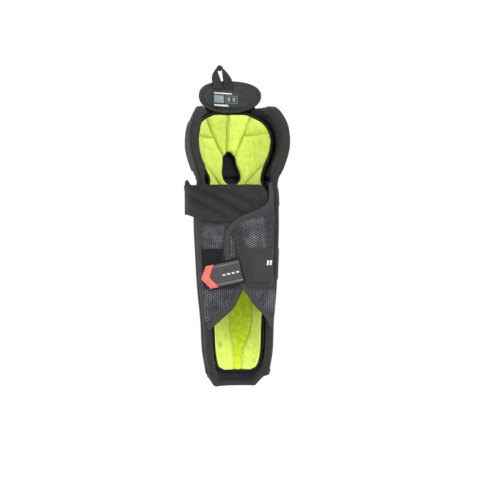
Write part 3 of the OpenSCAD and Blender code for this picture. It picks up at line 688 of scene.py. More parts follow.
build_front("shin_padding", 0.66, lambda s: rim_z(s) + 3, lambda s: NECK_Z + 0 * s,
            ("shin_foam", "shin_backing_fabric"), "shin")
build_front("knee_padding", 0.67, knee_low_z, lambda s: wing_top_z(s) - 0.5,
            ("knee_foam", "knee_backing_fabric"), "knee")

# soft neck joining the two sections in front
s = spread(0.64, -0.64, 60, 0.03, 4)
z = np.linspace(314, 345, 22)[:, None]
p = section(s[None, :], z, 2.2)
fold = 1.2 * np.cos((z - 329) * TAU / 9.0) * np.exp(-((z - 329) / 12.0) ** 2)
ob = pad("neck_gusset", p, 1.8 + fold, 2.2, 2.0, OUTER)
give(ob, nodes="knee_gusset", between=KNEE_BEND)


def shell_relief(x, z, spine):
    """Height of a moulded front: a raised spine between two grooves."""
    half, d = spine(z), np.abs(x)
    return 1.5 * smooth((half - d) / 3.0) - np.exp(-((d - half - 3.2) / 1.5) ** 2)


def slot_depth(x, z, slots):
    """0 outside, up to 1 well inside slanted rounded slots given as (x, z, half length, half width, slant)."""
    best = np.zeros_like(x)
    for cx, cz, hl, hw, slant in slots:
        dx, dz = x - cx, z - cz
        c, t = math.cos(slant), math.sin(slant)
        along, across = dx * c + dz * t, -dx * t + dz * c
        d = np.hypot(np.clip(np.abs(along) - (hl - hw), 0, None), across)
        best = np.maximum(best, smooth((hw - d) / 1.6 + 0.5))
    return best


def build_shell(name, reach, low, high, nodes, body, spine, slots, ns, nz):
    s = spread(reach, -reach, ns, 0.01, 4)
    v = spread(0, 1, nz, 0.006, 4)[:, None]
    z = mix(low(s)[None, :], high(s)[None, :], v)
    p = section(s[None, :], z, -1.65)
    x = turned(p[..., 0], p[..., 1], -twist(z))[0]
    relief = shell_relief(x, z, spine)
    cut = slot_depth(x, z, slots)
    step = 0.8 * smooth((np.abs(x) - (spine(z) + 16)) / 2.0)
    out = 1.35 + relief + step * 0.9 - 2.6 * cut
    ob = pad(name, p, np.maximum(out, -0.9), 1.3, 1.3, [SHELL, SHELL_ALT, PILE])
    # the slots look dark and the raised spine light
    on_spine = cell_mean(np.abs(x) - spine(z)) < -1.2
    paint(ob, np.where(cell_mean(cut) > 0.55, 2, np.where(on_spine, 1, 0)))
    return give(ob, body, nodes)


SHIN_SPINE = Track([9, 9], [60, 12], [160, 15], [250, 20], [314, 13])
shin_slots = [(side * (SHIN_SPINE(z) + 11.5), z, 9.5, 2.3, side * 0.55)
              for z in (92.0, 112.0, 132.0, 176.0, 196.0, 216.0) for side in (-1, 1)]
build_shell("shin_cap", 0.57, lambda s: rim_z(s) + 9, lambda s: 314 - 30 * np.abs(s) ** 3, "shin_shell", "shin",
            SHIN_SPINE, shin_slots, 120, 190)
KNEE_SPINE = Track([342, 14], [365, 25], [392, 29], [415, 22], [428, 12])
knee_slots = [(side * (KNEE_SPINE(z) + 11), z, 7.5, 2.2, side * -0.5)
              for z in (366.0, 384.0, 402.0) for side in (-1, 1)]
build_shell("knee_cap", 0.5, lambda s: 342 + 0 * s, lambda s: 428 - 60 * np.abs(s) ** 3, "knee_shell", "knee",
            KNEE_SPINE, knee_slots, 100, 80)


# ---------------------------------------------------------------- lower lip
s = spread(1.0, -1.0, 130, 0.02, 4)
low = rim_z(s)[None, :]
curl = 5.5 * (1 - np.cos(np.linspace(0, math.pi / 2, 9)))
w = np.unique(np.round(np.concatenate([curl, np.linspace(5.6, 9.6, 5)]), 4))[:, None]
z = low + w
p = section(s[None, :], z, 5.4)
f = dome(w, 5.5)
ob = pad("lower_lip", p, (6.9 + rumple(p, 6) * 0.2) * f, (6.8 + rumple(p, 6, 4) * 0.25) * f, 0.01, TAPE_DARK,
         sides="")
give(ob, "shin", "bottom_lip")
s2 = np.linspace(0.985, -0.985, 200)
z2 = rim_z(s2) + 7.6
ob = stitches("lower_lip_stitches", [section(s2, z2, 5.4 + 7.1), section(s2, z2, 5.4 - 7.2)], THREAD_LIGHT)
give(ob, "shin")


# ---------------------------------------------------------------- liners
LINER_S = Track([26, 0.3], [32, 0.5], [42, 0.63], [60, 0.665], [140, 0.67], [325, 0.65])
KNEE_LINER_S = Track([300, 0.64], [325, 0.56], [345, 0.565], [370, 0.64], [390, 0.65], [408, 0.60], [422, 0.47],
                     [433, 0.27])


def liner_in(z):
    """How far inside the outer skin the middle of the liners lies."""
    return 13.8 + 3 * smooth((z - 300) / 50) + 3.25


def section_at(x, z, inset, narrowed):
    """A point of the section from its frontal place. narrowed is what its half width loses to the inset."""
    a = np.degrees(np.arcsin(np.clip(np.abs(x) / (HALF_W(z) - narrowed), 0, 1) ** (BLUNT / 2)))
    return section(np.sign(x) * a * FRONT_SHARE / 90, z, inset)


def seam_distance(x, z, seams):
    """Distance in millimetres from frontal points to the nearest sewn line."""
    best = np.full(x.shape, 1e3)
    for line in seams:
        for (ax, az), (bx, bz) in zip(line[:-1], line[1:]):
            dx, dz = bx - ax, bz - az
            t = np.clip(((x - ax) * dx + (z - az) * dz) / (dx * dx + dz * dz), 0, 1)
            best = np.minimum(best, np.hypot(x - ax - t * dx, z - az - t * dz))
    return best


KEY_X, KEY_LOW, KEY_TIP = -2.5, 320.0, 373.0


def key_half(z):
    """Half width of the keyhole at a height, in the knee's own frame."""
    z = np.asarray(z, float)
    low = np.sqrt(np.clip(14.5 ** 2 - (z - (KEY_LOW + 14.5)) ** 2, 0, None))
    shoulder = mix(14.5, 10.5, smooth((z - (KEY_LOW + 14.5)) / 24))
    tip = 10.5 * np.sqrt(np.clip((KEY_TIP - z) / 12.0, 0, 1))
    return np.where(z < KEY_LOW + 14.5, low, np.minimum(shoulder, np.where(z > KEY_TIP - 12, tip, 99)))


KNEE_SEAMS = [
    [(-5.5, 436), (-5.8, 372)],
    [(-40, 425), (-27, 398), (-12, 366)], [(31, 428), (22, 400), (7.5, 366)],
    [(-64, 372), (-46, 352), (-22, 318)], [(66, 374), (50, 352), (14, 316)],
    [(-70, 398), (-27, 396)], [(72, 402), (22, 399)],
]


def polar_liner():
    """Knee liner as rings round the keyhole: p[ring][angle], from the hole's rim out to the liner's edge."""
    na, nr = 260, 74
    ang = np.linspace(0, TAU, na + 1)
    cz = 340.0
    # the hole's outline and the outer outline as a distance from the centre at each angle, by search
    dist = np.linspace(0.5, 130, 700)
    dirs = np.stack([np.sin(ang), np.cos(ang)], 1)
    hole_r, out_r = [], []
    z_lo, z_hi = 303.0, span("knee_liner", 2)[1] + 4
    for dx, dz in dirs:
        z, x = cz + dist * dz, KEY_X + dist * dx
        inside = (np.abs(x - KEY_X) < key_half(z)) & (z > KEY_LOW) & (z < KEY_TIP)
        hole_r.append(dist[~inside][0])
        s_max = KNEE_LINER_S(z) * (1 + 0.13 * smooth(-dx * 2) * smooth((z - 325) / 40))
        edge = section(s_max, z, liner_in(z))
        edge_x = turned(edge[:, 0], edge[:, 1], -twist(z))[0]
        ok = (np.abs(x) < edge_x) & (z > z_lo) & (z < z_hi)
        out_r.append(dist[~ok][0])
    hole_r, out_r = np.array(hole_r), np.array(out_r)
    k = np.ones(5) / 5
    for _ in range(2):
        out_r = np.convolve(np.concatenate([out_r[-3:-1], out_r, out_r[1:3]]), k, "valid")
    r = spread(0, 1, nr - 12, 0.06, 6)[:, None]
    rad = mix(hole_r[None, :], out_r[None, :], r)
    x, z = KEY_X + rad * np.sin(ang)[None, :], cz + rad * np.cos(ang)[None, :]
    p = section_at(x, z, liner_in(z), liner_in(z))
    p[..., 0] -= 3.2 * smooth((-x - 8) / 36) * smooth((z - 325) / 40)
    return p, x, z, rad, hole_r[None, :], out_r[None, :]


p, x, z, rad, hole_r, out_r = polar_liner()
n = normals(p)
if np.sum(n[..., 1]) > 0:
    p, x, z, rad = p[:, ::-1], x[:, ::-1], z[:, ::-1], rad[:, ::-1]
    hole_r, out_r = hole_r[:, ::-1], out_r[:, ::-1]
    n = normals(p)
n[:, 0] = n[:, -1] = (n[:, 0] + n[:, -1]) / 2
to_edge = np.minimum(rad - hole_r, out_r - rad)
seam = seam_distance(x, z, KNEE_SEAMS)
puff = (4.6 * dome(seam, 11) * dome(to_edge, 10) + rumple(p, 22, 7) * 1.3 + rumple(p, 9, 3) * 0.6
        - 1.2 * np.exp(-(seam / 1.6) ** 2))
f = dome(to_edge, 3.2)
sewn = seam_distance(x, z, KNEE_SEAMS[:5])
# painted shade in the sewn grooves of the knee liner, passed on as the seam attribute
print_and_seam_shade = 0.7 * np.exp(-(sewn / 1.2) ** 2) + 0.15 * np.exp(-(sewn / 4.0) ** 2)
ob = pad("knee_liner_quilt", p, (1.6 + puff) * f, 3.0 * f, 0.01, LINER, attributes=(("seam", print_and_seam_shade),), n=n, sides="")
give(ob, nodes="knee_liner", between=KNEE_BEND)


rows = []
for line in KNEE_SEAMS:
    q = resample(np.array(line, float), 2.0)
    q = q[(np.abs(q[:, 0]) < 60) & (q[:, 1] < 428) & (q[:, 1] > 306)]
    if len(q) > 3:
        inset = liner_in(q[:, 1]) + 2.0
        rows.append(section_at(q[:, 0], q[:, 1], inset, inset))
ob = stitches("knee_liner_stitches", rows, THREAD_LIME, pitch=3.6, r=0.3)
give(ob, between=KNEE_BEND)


def tube(name, path, r, mat, sides=10):
    """A round piping along a closed path of points."""
    path = np.asarray(path, float)
    tangent = np.gradient(path, axis=0)
    tangent[0] = tangent[-1] = path[1] - path[-2]
    tangent /= np.maximum(np.linalg.norm(tangent, axis=1, keepdims=True), 1e-9)
    side = np.cross(tangent, [0.0, -1.0, 0.0])
    side /= np.maximum(np.linalg.norm(side, axis=1, keepdims=True), 1e-9)
    top = np.cross(side, tangent)
    ang = np.linspace(0, TAU, sides, endpoint=False)
    ring = path[:, None] + r * (side[:, None] * np.cos(ang)[None, :, None] + top[:, None] * np.sin(ang)[None, :, None])
    m = len(path) - 1
    faces = []
    for i in range(m):
        for j in range(sides):
            i2, j2 = (i + 1) % m, (j + 1) % sides
            faces.append([i * sides + j, i2 * sides + j, i2 * sides + j2, i * sides + j2])
    d = run_of(path)
    uv = [[j * r * TAU / sides, d[i]] for i in range(m) for j in range(sides)]
    ob = mesh_object(name, ring[:m].reshape(-1, 3), faces, np.array(uv), mat)
    bm = bmesh.new()
    bm.from_mesh(ob.data)
    bmesh.ops.recalc_face_normals(bm, faces=bm.faces)
    bm.to_mesh(ob.data)
    bm.free()
    return ob


ob = tube("keyhole_piping", p[0] + n[0] * 0.6, 1.7, PIPING)
give(ob, between=KNEE_BEND)
ob = tube("knee_liner_piping", p[-1] + n[-1] * 0.8, 2.6, PIPING)
give(ob, between=KNEE_BEND)

# shin liner
SHIN_SEAMS = [
    [(-12, 200), (-11, 120), (-10, 84), (-5, 57), (-5, 28)],
    [(26, 200), (25, 103), (22, 86), (14, 68), (8, 54), (7, 27)],
]
zs = spread(26, 301, 150, 4, 5)[:, None]
t = spread(-1, 1, 84, 0.07, 5)[None, :]
s = t * LINER_S(zs)
z = zs + 0 * s
p = section(s, z, liner_in(z))
n = normals(p)
x = p[..., 0]
u, v = lengths(p)
to_edge = np.minimum(np.minimum(u, u[:, -1:] - u), np.minimum(v, v[-1:] - v))
seam = seam_distance(x, z, SHIN_SEAMS)
puff = (3.4 * dome(seam, 9) * dome(to_edge, 10) + rumple(p, 24, 9) * 1.1 + rumple(p, 9, 2) * 0.5
        - 0.8 * np.exp(-(seam / 1.4) ** 2))
f = dome(to_edge, 3.0)
# painted shade in the seam grooves of the shin liner, passed on as the seam attribute
print_and_seam_shade = 0.35 * np.exp(-(seam / 1.2) ** 2) + 0.15 * np.exp(-(seam / 4.0) ** 2)
ob = pad("shin_liner_quilt", p, (1.5 + puff) * f, 3.0 * f, 0.01, [LINER, LINER, LINER_MESH],
         attributes=(("seam", print_and_seam_shade),), n=n, sides="")
left = np.interp(z, [28, 57, 84, 120, 200], [-5, -5, -10, -11, -12])
right = np.interp(z, [27, 54, 68, 86, 103, 200], [7, 8, 14, 22, 25, 26])
inside = ((x > left + 1) & (x < right - 1)).astype(float)
paint(ob, np.where(cell_mean(inside) > 0.5, 2, 0))
give(ob, "shin", "shin_liner")
rows = []
for line in SHIN_SEAMS:
    for shift in (-1.6, 1.6):
        q = resample(np.array(line, float) + [shift, 0], 2.0)
        inset = liner_in(q[:, 1])
        rows.append(section_at(q[:, 0], q[:, 1], inset + 2.3, inset + 2.75))
ob = stitches("shin_liner_stitches", rows, THREAD_LIME, pitch=3.4, r=0.3)
cross = np.linspace(-1, 1, 9)
rows = []
for lean in (-1, 1):
    q = np.stack([-24.5 + 2.6 * lean * cross, 67 + 4.2 * cross], 1)
    inset = liner_in(q[:, 1])
    rows.append(section_at(q[:, 0], q[:, 1], inset + 4.6, inset + 6.75))
tack = stitches("shin_liner_tack", rows, THREAD_LIME, pitch=1.6, share=0.9, r=0.45)
give(tack, "shin")
give(ob, "shin")
edge = np.concatenate([p[0], p[1:, -1], p[-1, ::-1][1:], p[::-1, 0][1:]])
ob = tube("shin_liner_piping", edge, 2.0, PIPING)
give(ob, "shin")


# ---------------------------------------------------------------- calf side
def side_path(side, z, out, x_from, n=70):
    """Plan of a layer that lies on the calf side and tucks in at the wall's rear edge, where it is sewn."""
    wx = float(wall_x(z, side))
    pts = [(x, float(calf_y(x, z, out))) for x in np.linspace(x_from, side * (wx - 3.5), 24)]
    x0, y0 = pts[-1]
    for a in np.linspace(0.2, math.pi / 2, 7):
        pts.append((x0 + side * 3.2 * math.sin(a), y0 + 3.2 * (1 - math.cos(a))))
    pts.append((x0 + side * 3.2, max(y0 + 4.0, 1.0 - float(REAR_Y(z)))))
    q = eased(resample(np.array(pts), 0.8), 3)
    d = run_of(q)
    t = np.linspace(0, d[-1], n)
    return np.stack([np.interp(t, d, q[:, 0]), np.interp(t, d, q[:, 1])], 1)


def side_grid(side, zs, out, x_from, n=70):
    rows = []
    for z in zs:
        q = side_path(side, float(z), float(out(z)) if callable(out) else out, float(x_from(z)), n)
        rows.append(np.concatenate([q, np.full((n, 1), z)], 1))
    p = np.array(rows)
    return p if side > 0 else p[:, ::-1]


def lifted_corner(p):
    """Raises a wrap's lower corner at the wall, so that it runs out under the wall's rim."""
    low = 1 - smooth((p[..., 2] - 90) / 34)
    corner = low * smooth((np.abs(p[..., 0]) - 40) / 8)
    p[..., 1] += 5.5 * corner
    p[..., 2] += 9 * corner
    return p


def zone(x, z, x0, x1, z0, z1, soft=9.0):
    """1 well inside a rectangle and falling to 0 round it."""
    dx = np.minimum(x - x0, x1 - x)
    dz = np.minimum(z - z0, z1 - z)
    return smooth(dx / soft + 0.5) * smooth(dz / soft + 0.5)


LEFT_BEND = ("shin", "left_wrap", (-62, -42, 0), (-58, -50, 0))
RIGHT_BEND = ("shin", "right_wrap", (57, -42, 0), (52, -51, 0))

# left wrap, under the right one
zs = spread(90, 271, 110, 1.5, 4)
p = lifted_corner(side_grid(-1, zs, lambda z: WRAP_T / 2 - low_dip(z), lambda z: LEFT_EDGE(z) - 1.0, 90))
n = normals(p)
x, z = p[..., 0], p[..., 2]
print_and_seam_shade = (zone(x, z, -58, -22, 219, 256) + zone(x, z, -56, -10, 98, 158)) * (0.75 + 0.5 * rumple(p, 14, 8))
soft = rumple(p, 26, 4) * 1.1 + rumple(p, 9, 6) * 0.3
ob = pad("left_wrap_cloth", p + n * soft[..., None] * 0.5, WRAP_T / 2, WRAP_T / 2, 1.5, [WRAP, INNER],
         attributes=(("print", np.clip(print_and_seam_shade, 0, 1)),), n=n, uv_from=(x - lengths(p)[0])[:, -1:])
give(ob, nodes="left_wrap", between=LEFT_BEND)

# right wrap
zs = spread(96, 318, 130, 1.5, 4)
p = lifted_corner(side_grid(1, zs, lambda z: UNDER_R + WRAP_T / 2 - low_dip(z),
                            lambda z: min(RIGHT_EDGE(z) + 1.0, wall_x(z, 1) - 4.5), 100))
n = normals(p)
x, z = p[..., 0], p[..., 2]
keeper_x = lambda zz: 11.5 - (zz - 183) * math.tan(math.radians(15))
print_and_seam_shade = (zone(x, z, -2, 40, 217, 266) + zone(x, z, 34, 50, 219, 238) * 0.8 + zone(x, z, -19, -8, 206, 242, 5)
       + zone(x, z, 16, 54, 100, 156)) * (0.75 + 0.5 * rumple(p, 14, 5))
soft = rumple(p, 28, 14) * 1.0 + rumple(p, 9, 16) * 0.3
ob = pad("right_wrap_cloth", p + n * soft[..., None] * 0.5, WRAP_T / 2, WRAP_T / 2, 1.5, [WRAP, INNER],
         attributes=(("print", np.clip(print_and_seam_shade, 0, 1)),), n=n, uv_from=x[:, :1])
give(ob, nodes="right_wrap", between=RIGHT_BEND)


def wrap_binding(name, track, z0, z1, out, side, body, node, width=10.0):
    """Tape folded over a wrap's free edge, with its row of stitches."""
    z = np.linspace(z0, z1, 400)
    path = eased(resample(np.stack([track(z), z], 1), 1.6), 5)
    inward = inward_of(path) * side
    w = np.concatenate([3.0 * (1 - np.cos(np.linspace(0, math.pi / 2, 7))), np.linspace(3.4, width - 0.6, 6), [width]])
    q = path[:, None, :] + inward[:, None, :] * w[None, :, None]
    limit = wall_x(q[..., 1], side) - 0.5
    q[..., 0] = np.clip(q[..., 0], -limit, limit)
    grid = calf(q[..., 0], q[..., 1], out - low_dip(q[..., 1]))
    grid[..., 1] += 7 * (1 - smooth((grid[..., 2] - 88) / 20)) * smooth((np.abs(grid[..., 0]) - 38) / 9)
    if side < 0:
        grid, w = grid[:, ::-1], w[::-1]
    n = normals(grid)
    f = (dome(w, 3.0) * np.clip((width - w) / 0.5, 0, 1))[None, :]
    lump = rumple(grid, 5, 3) * 0.22 + rumple(grid, 24, 1) * 0.5
    ob = pad(name, grid, (WRAP_T / 2 + 0.75 + lump) * f, (WRAP_T / 2 + 0.3) * f, 0.01, TAPE, n=n, sides="")
    give(ob, body, node)
    line = path + inward * (width - 2.2)
    line = line[(np.abs(line[:, 0]) < wall_x(line[:, 1], side) - 3) & (line[:, 1] > 104)]
    lift = out + WRAP_T / 2 + 0.95 - low_dip(line[:, 1])
    ob = stitches(name + "_stitches", [calf(line[:, 0], line[:, 1], lift)], THREAD_LIGHT)
    give(ob, body)


wrap_binding("left_wrap_edge", LEFT_EDGE, 94, 271, WRAP_T / 2, -1, "left_wrap", "left_wrap_binding")
wrap_binding("right_wrap_edge", RIGHT_EDGE, 98, 319, UNDER_R + WRAP_T / 2, 1, "right_wrap", "right_wrap_binding")

# loop-pile landing under the tab
zs = spread(163, 219, 40, 1, 3)
p = side_grid(-1, zs, lambda z: WRAP_T + 0.6, lambda z: -27.0, 60)
n = normals(p)
ob = pad("landing_pile", p, 0.8 + rumple(p, 5) * 0.25, 0.7, 1.2, PILE, n=n)
plan_uv(ob)
give(ob, nodes="loop_landing", between=LEFT_BEND)
edge = [p[0] + n[0] * 0.9 + [0, 0, 2.2], p[-1] + n[-1] * 0.9 - [0, 0, 2.2], p[:, -1] + n[:, -1] * 0.9 - [2.2, 0, 0]]
ob = stitches("landing_stitches", edge, THREAD)
give(ob, between=LEFT_BEND)

# keeper strip, leaning
zs = spread(160.0, 243.0, 60, 0.8, 3)[:, None]
p = calf(keeper_x(zs) + spread(-1, 1, 14, 0.08, 3)[None, :] * 7.5, zs, OVER_R + 0.6)
n = normals(p)
ob = pad("keeper_tape", p, 0.9 + rumple(p, 7) * 0.2, 1.2, 0.8, WEBBING, n=n)
give(ob, "right_wrap", "keeper_strip")
z = np.linspace(162, 241, 60)
rows = [calf(keeper_x(z) + k, z, OVER_R + 1.6) for k in (-5.9, 5.9)]
ob = stitches("keeper_stitches", rows, THREAD_LIGHT)
give(ob, "right_wrap")

# wide elastic, from the keeper round the right wall to its anchor
zs = spread(168, 219, 44, 0.8, 3)
p = side_grid(1, zs, lambda z: OVER_R + 0.3, lambda z: keeper_x(z) + 5.5, 90)
n = normals(p)
pull = 0.6 * np.sin((p[..., 2] - 168) * TAU / 17.0) * smooth((p[..., 0] - 20) / 30) + rumple(p, 16, 2) * 0.5
ob = pad("wide_elastic", p + n * pull[..., None] * 0.4, 0.75, 0.7, 0.7, ELASTIC, n=n)
give(ob, nodes="mid_elastic", between=RIGHT_BEND)
rows = [p[:, -18] + n[:, -18] * 0.9]
ob = stitches("elastic_anchor_stitches", rows, THREAD_LIGHT)
give(ob, between=RIGHT_BEND)

# two small plain bars printed on the elastic
for i, x0 in enumerate((41.5, 46.0)):
    zz = spread(193.0, 200.5, 8, 0.5, 3)[:, None]
    xx = spread(x0, x0 + 3.2, 6, 0.5, 3)[None, :]
    p = calf(xx + 0.12 * (zz - 196), zz, OVER_R + 1.35)
    ob = pad("elastic_bar_%d" % i, p, 0.3, 0.3, 0.4, LABEL_LIGHT)
    give(ob, "right_wrap")


# ---------------------------------------------------------------- upper strap
def spline(points, per=14):
    pts = np.asarray(points, float)
    ext = np.concatenate([[2 * pts[0] - pts[1]], pts, [2 * pts[-1] - pts[-2]]])
    out = []
    for i in range(1, len(ext) - 2):
        a, b, c, d = ext[i - 1:i + 3]
        for t in np.linspace(0, 1, per, endpoint=False):
            bend, twirl = 2 * a - 5 * b + 4 * c - d, 3 * b - a - 3 * c + d
            out.append(0.5 * (2 * b + (c - a) * t + bend * t * t + twirl * t ** 3))
    out.append(pts[-1])
    return np.array(out)


ROOT = [(x, float(calf_y(x, 290, 0.3))) for x in (45, 36, 28, 18, 8)]
STRAP_PLAN = ROOT + [(0.5, -60.4), (-11, -63.5), (-25, -62.4), (-40, -59.6), (-57.5, -53), (-72.5, -42.5),
                     (-78.8, -27), (-78.5, -9), (-75, 7), (-72.5, 19)]
plan = resample(spline(STRAP_PLAN), 1.4)
dirs = np.gradient(plan, axis=0)
dirs /= np.linalg.norm(dirs, axis=1, keepdims=True)
out2 = np.stack([-dirs[:, 1], dirs[:, 0]], 1)
run = run_of(plan)
px, py = plan[:, 0], plan[:, 1]
front = py > -30
corner = run[np.argmin(np.abs(px + 77) + 99 * front)]  # where the strap turns round the left wall
top_z = 317.0 - 14 * np.clip((px - 29) / 16, 0, 1) ** 2 + 8.5 * np.exp(-((run - corner) / 6.5) ** 2)
low_z = np.where(px > -11, mix(259.5, 266.6, smooth((px + 11) / 12)), mix(259.5, 262, np.clip((-11 - px) / 46, 0, 1)))
low_z = low_z + np.clip((-56 - px) / 24, 0, 1) * 11 + 14 * np.clip((px - 33) / 12, 0, 1) ** 2
low_z = np.where(front, 272.0, low_z)
STRAP_T = 2.6
v = spread(0, 1, 46, 0.03, 4)[:, None]
z = mix(low_z[None, :], top_z[None, :], v)
X = px[None, :] + 0 * z
# soft folds, drawn as ridges on the flat strap
folds = [((-68, 307), (-6, 270), 4.2, 6.0), ((-50, 311), (12, 283), 3.2, 6.5), ((-72, 290), (-30, 266), 2.8, 5.0),
         ((14, 314), (30, 290), 2.0, 5.0), ((-76, 300), (-62, 276), 1.0, 6.0)]
lift = rumple(np.stack([X, 0 * X, z], -1), 24, 3) * 1.5
# painted shade in the valleys beside the folds, passed to the strap cloth as its seam attribute
fold_shade = 0 * lift
for (ax, az), (bx, bz), high, wide in folds:
    dx, dz = bx - ax, bz - az
    t = np.clip(((X - ax) * dx + (z - az) * dz) / (dx * dx + dz * dz), 0, 1)
    d = np.hypot(X - ax - t * dx, z - az - t * dz)
    lift += high * np.exp(-(d / wide) ** 2) * (1 - 0.3 * t)
    across = ((X - ax) * dz - (z - az) * dx) / math.hypot(dx, dz)
    fold_shade += 0.26 * high * np.exp(-((across + wide * 1.5) / wide) ** 2) * np.exp(-(d / (2.6 * wide)) ** 2)
lift -= 2.2 * np.exp(-(seam_distance(X, z, [[(16, 309), (24, 296), (30, 286)]]) / 3.0) ** 2)
lift = lift * smooth((34 - X) / 10) * np.where(front[None, :], 0.25, 1.0)
off = STRAP_T / 2 + lift
p = np.stack([px + out2[:, 0] * off, py + out2[:, 1] * off, z], -1)[:, ::-1]
n = normals(p)
vv = lengths(p)[1]
hem = smooth((vv - (vv[-1:] - 6.4)) / 0.8)
thick = STRAP_T / 2 + 0.55 * hem - 0.35 * np.exp(-((vv - (vv[-1:] - 6.6)) / 0.8) ** 2)
ob = pad("upper_strap_cloth", p, thick, thick, 1.2, STRAP, n=n,
         attributes=(("seam", np.clip(fold_shade, 0, 0.9)[:, ::-1]),))
STRAP_BEND = ("right_wrap", "upper_strap", (12, -62, 0), (-12, -62, 0))
give(ob, nodes=("upper_strap", "upper_strap_root"), between=STRAP_BEND)
hem_rows = [np.array([p[np.argmin(np.abs(vv[:, i] - (vv[-1, i] - 6.0))), i] + n[-8, i] * 1.9
                      for i in range(4, p.shape[1] - 6)])]
ob = stitches("upper_strap_stitches", hem_rows, THREAD_LIGHT)
give(ob, between=STRAP_BEND)

# hook patch inside the tail, its landing on the wall, and the short pull
zs = spread(279, 311, 18, 0.6, 3)
tail = (plan - 0.7 * out2)[::-1][3:34]
g = np.stack([np.column_stack([tail, np.full(len(tail), zz)]) for zz in zs])
ob = pad("strap_hooks", g, 0.5, 0.45 + np.abs(rumple(g, 3)) * 0.3, 0.8, PILE)
give(ob, "upper_strap", "strap_hook_patch")
s = spread(-0.68, -0.84, 16, 0.004, 3)[None, :]
zz = spread(266, 314, 26, 0.8, 3)[:, None]
g = section(s, zz, -0.7)
ob = pad("strap_landing", g, 0.6 + rumple(g, 4) * 0.2, 0.5, 0.9, PILE)
give(ob, "shin", "upper_strap_landing")
end, d = plan[-1], dirs[-1]
t = spread(-4, 14, 14, 1.2, 4)[None, :]
zz = spread(283, 306, 16, 1.2, 4)[:, None]
o = 1.6 + 1.1 * smooth((t + 1) / 3)
g = np.stack(np.broadcast_arrays(end[0] + d[0] * t + out2[-1][0] * o, end[1] + d[1] * t + out2[-1][1] * o, zz), -1)
g = g[:, ::-1]
ob = pad("strap_pull_tab", g, 0.9, 0.8, 0.9, WEBBING)
give(ob, "upper_strap", "strap_pull")
for tag, low, high in (("upper", 284.0, 312.0), ("mid", 170.0, 219.0)):
    s = spread(0.934, 0.732, 20, 0.004, 3)[None, :]
    zz = spread(low, high, 24, 0.8, 3)[:, None]
    g = section(s, zz, -0.9)
    ob = pad(tag + "_anchor", g, 0.9 + rumple(g, 6) * 0.15, 0.9, 0.9, STRAP)
    give(ob, "shin", tag + "_strap_anchor")
    q = [section(np.linspace(0.925, 0.741, 20), np.full(20, zv), -2.0) for zv in (low + 3, high - 3)]
    q += [section(np.full(20, sv), np.linspace(low + 3, high - 3, 20), -2.0) for sv in (0.925, 0.741)]
    ob = stitches(tag + "_anchor_stitches", q, THREAD_LIGHT)
    give(ob, "shin")

# ---------------------------------------------------------------- pull tab
LEAN = math.radians(12)
TAB_X, TAB_Z = 2.8, 186.0


def tab_point(a, b, out):
    a, b = np.broadcast_arrays(np.asarray(a, float), np.asarray(b, float))
    x = TAB_X - a * math.cos(LEAN) - b * math.sin(LEAN)
    z = TAB_Z - a * math.sin(LEAN) + b * math.cos(LEAN)
    return calf(x, z, OVER_R + 0.2 + out - 3.2 * smooth((-26 - x) / 12))


HALF, LEN, NOSE, CHEVRON = 17.5, 63.0, 11.0, 12.5
a = spread(50, 0.5, 40, 1, 3)[None, :]
b = spread(-20, 20, 30, 1, 3)[:, None]
g = tab_point(a, b, 0.5)
ob = pad("tab_hook_backing", g, 0.45 + rumple(g, 3) * 0.12, 0.4, 0.7, PILE)
plan_uv(ob)
give(ob, "pull_tab", "tab_backing")

a = spread(LEN - CHEVRON - 0.7, 1.5, 70, 1.0, 4)[None, :]
half = np.minimum(HALF, np.maximum(0.9, (LEN - CHEVRON - 0.4 - a) * HALF / NOSE))
t = spread(-1, 1, 44, 0.05, 4)[:, None]
b = t * half
g = tab_point(a, b, 2.2)
border = smooth((np.abs(b) - (HALF - 3.6)) / 0.8)
bevel = np.exp(-((np.abs(b) - (HALF - 4.6)) / 0.7) ** 2) * (np.abs(b) < HALF - 3)
slope = smooth((a - 38) / 2) * 0.5
high = 1.3 + 0.85 * border - 0.45 * bevel + slope * (1 - border)
ob = pad("tab_plate", g, high, 0.9, 0.9, [RUBBER, RUBBER_EDGE])
a = a + 0 * b
paint(ob, (np.abs(cell_mean(np.abs(b)) - (HALF - 4.0)) < 0.55) & (cell_mean(a) < 44))
plan_uv(ob)
give(ob, "pull_tab", "pull_tab")
# plain raised dashes
for k in range(4):
    a = spread(30.5 - k * 7, 26 - k * 7, 8, 0.4, 3)[None, :]
    b = spread(-1.3, 1.3, 6, 0.4, 3)[:, None]
    g = tab_point(a, b - 1.0, 3.7)
    ob = pad("tab_dash_%d" % k, g, 0.35, 0.4, 0.4, LABEL_LIGHT)
    give(ob, "pull_tab")
# chevron
bb = spread(-HALF, HALF, 60, 0.8, 4)[:, None]
ww = spread(0, 1, 22, 0.07, 4)[None, :]
tip = LEN - NOSE * np.sqrt((bb / HALF) ** 2 + 0.003) - ww * CHEVRON
g = tab_point(tip, bb, 2.5)
ridge = 0.5 * np.exp(-((ww - 0.5) / 0.28) ** 2)
ob = pad("tab_chevron_coral", g, 1.2 + ridge, 1.0, 1.0, CORAL)
plan_uv(ob)
give(ob, "pull_tab", "tab_chevron")


# ---------------------------------------------------------------- thigh pad, label and loop
THIGH_X, THIGH_Y, THIGH_Z, BEND_R = -5.5, 35.5, 460.0, 60.0
THIGH_W, THIGH_H = 99.0, 50.0


def bent(x, v, out):
    """A point on the thigh pad: x and v from its middle, out towards the calf."""
    x, v, out = np.broadcast_arrays(np.asarray(x, float), np.asarray(v, float), np.asarray(out, float))
    px, py = turned(THIGH_X + x, THIGH_Y - x * x / (2 * BEND_R) - out, TWIST)
    return np.stack([px, py, THIGH_Z + v], -1)


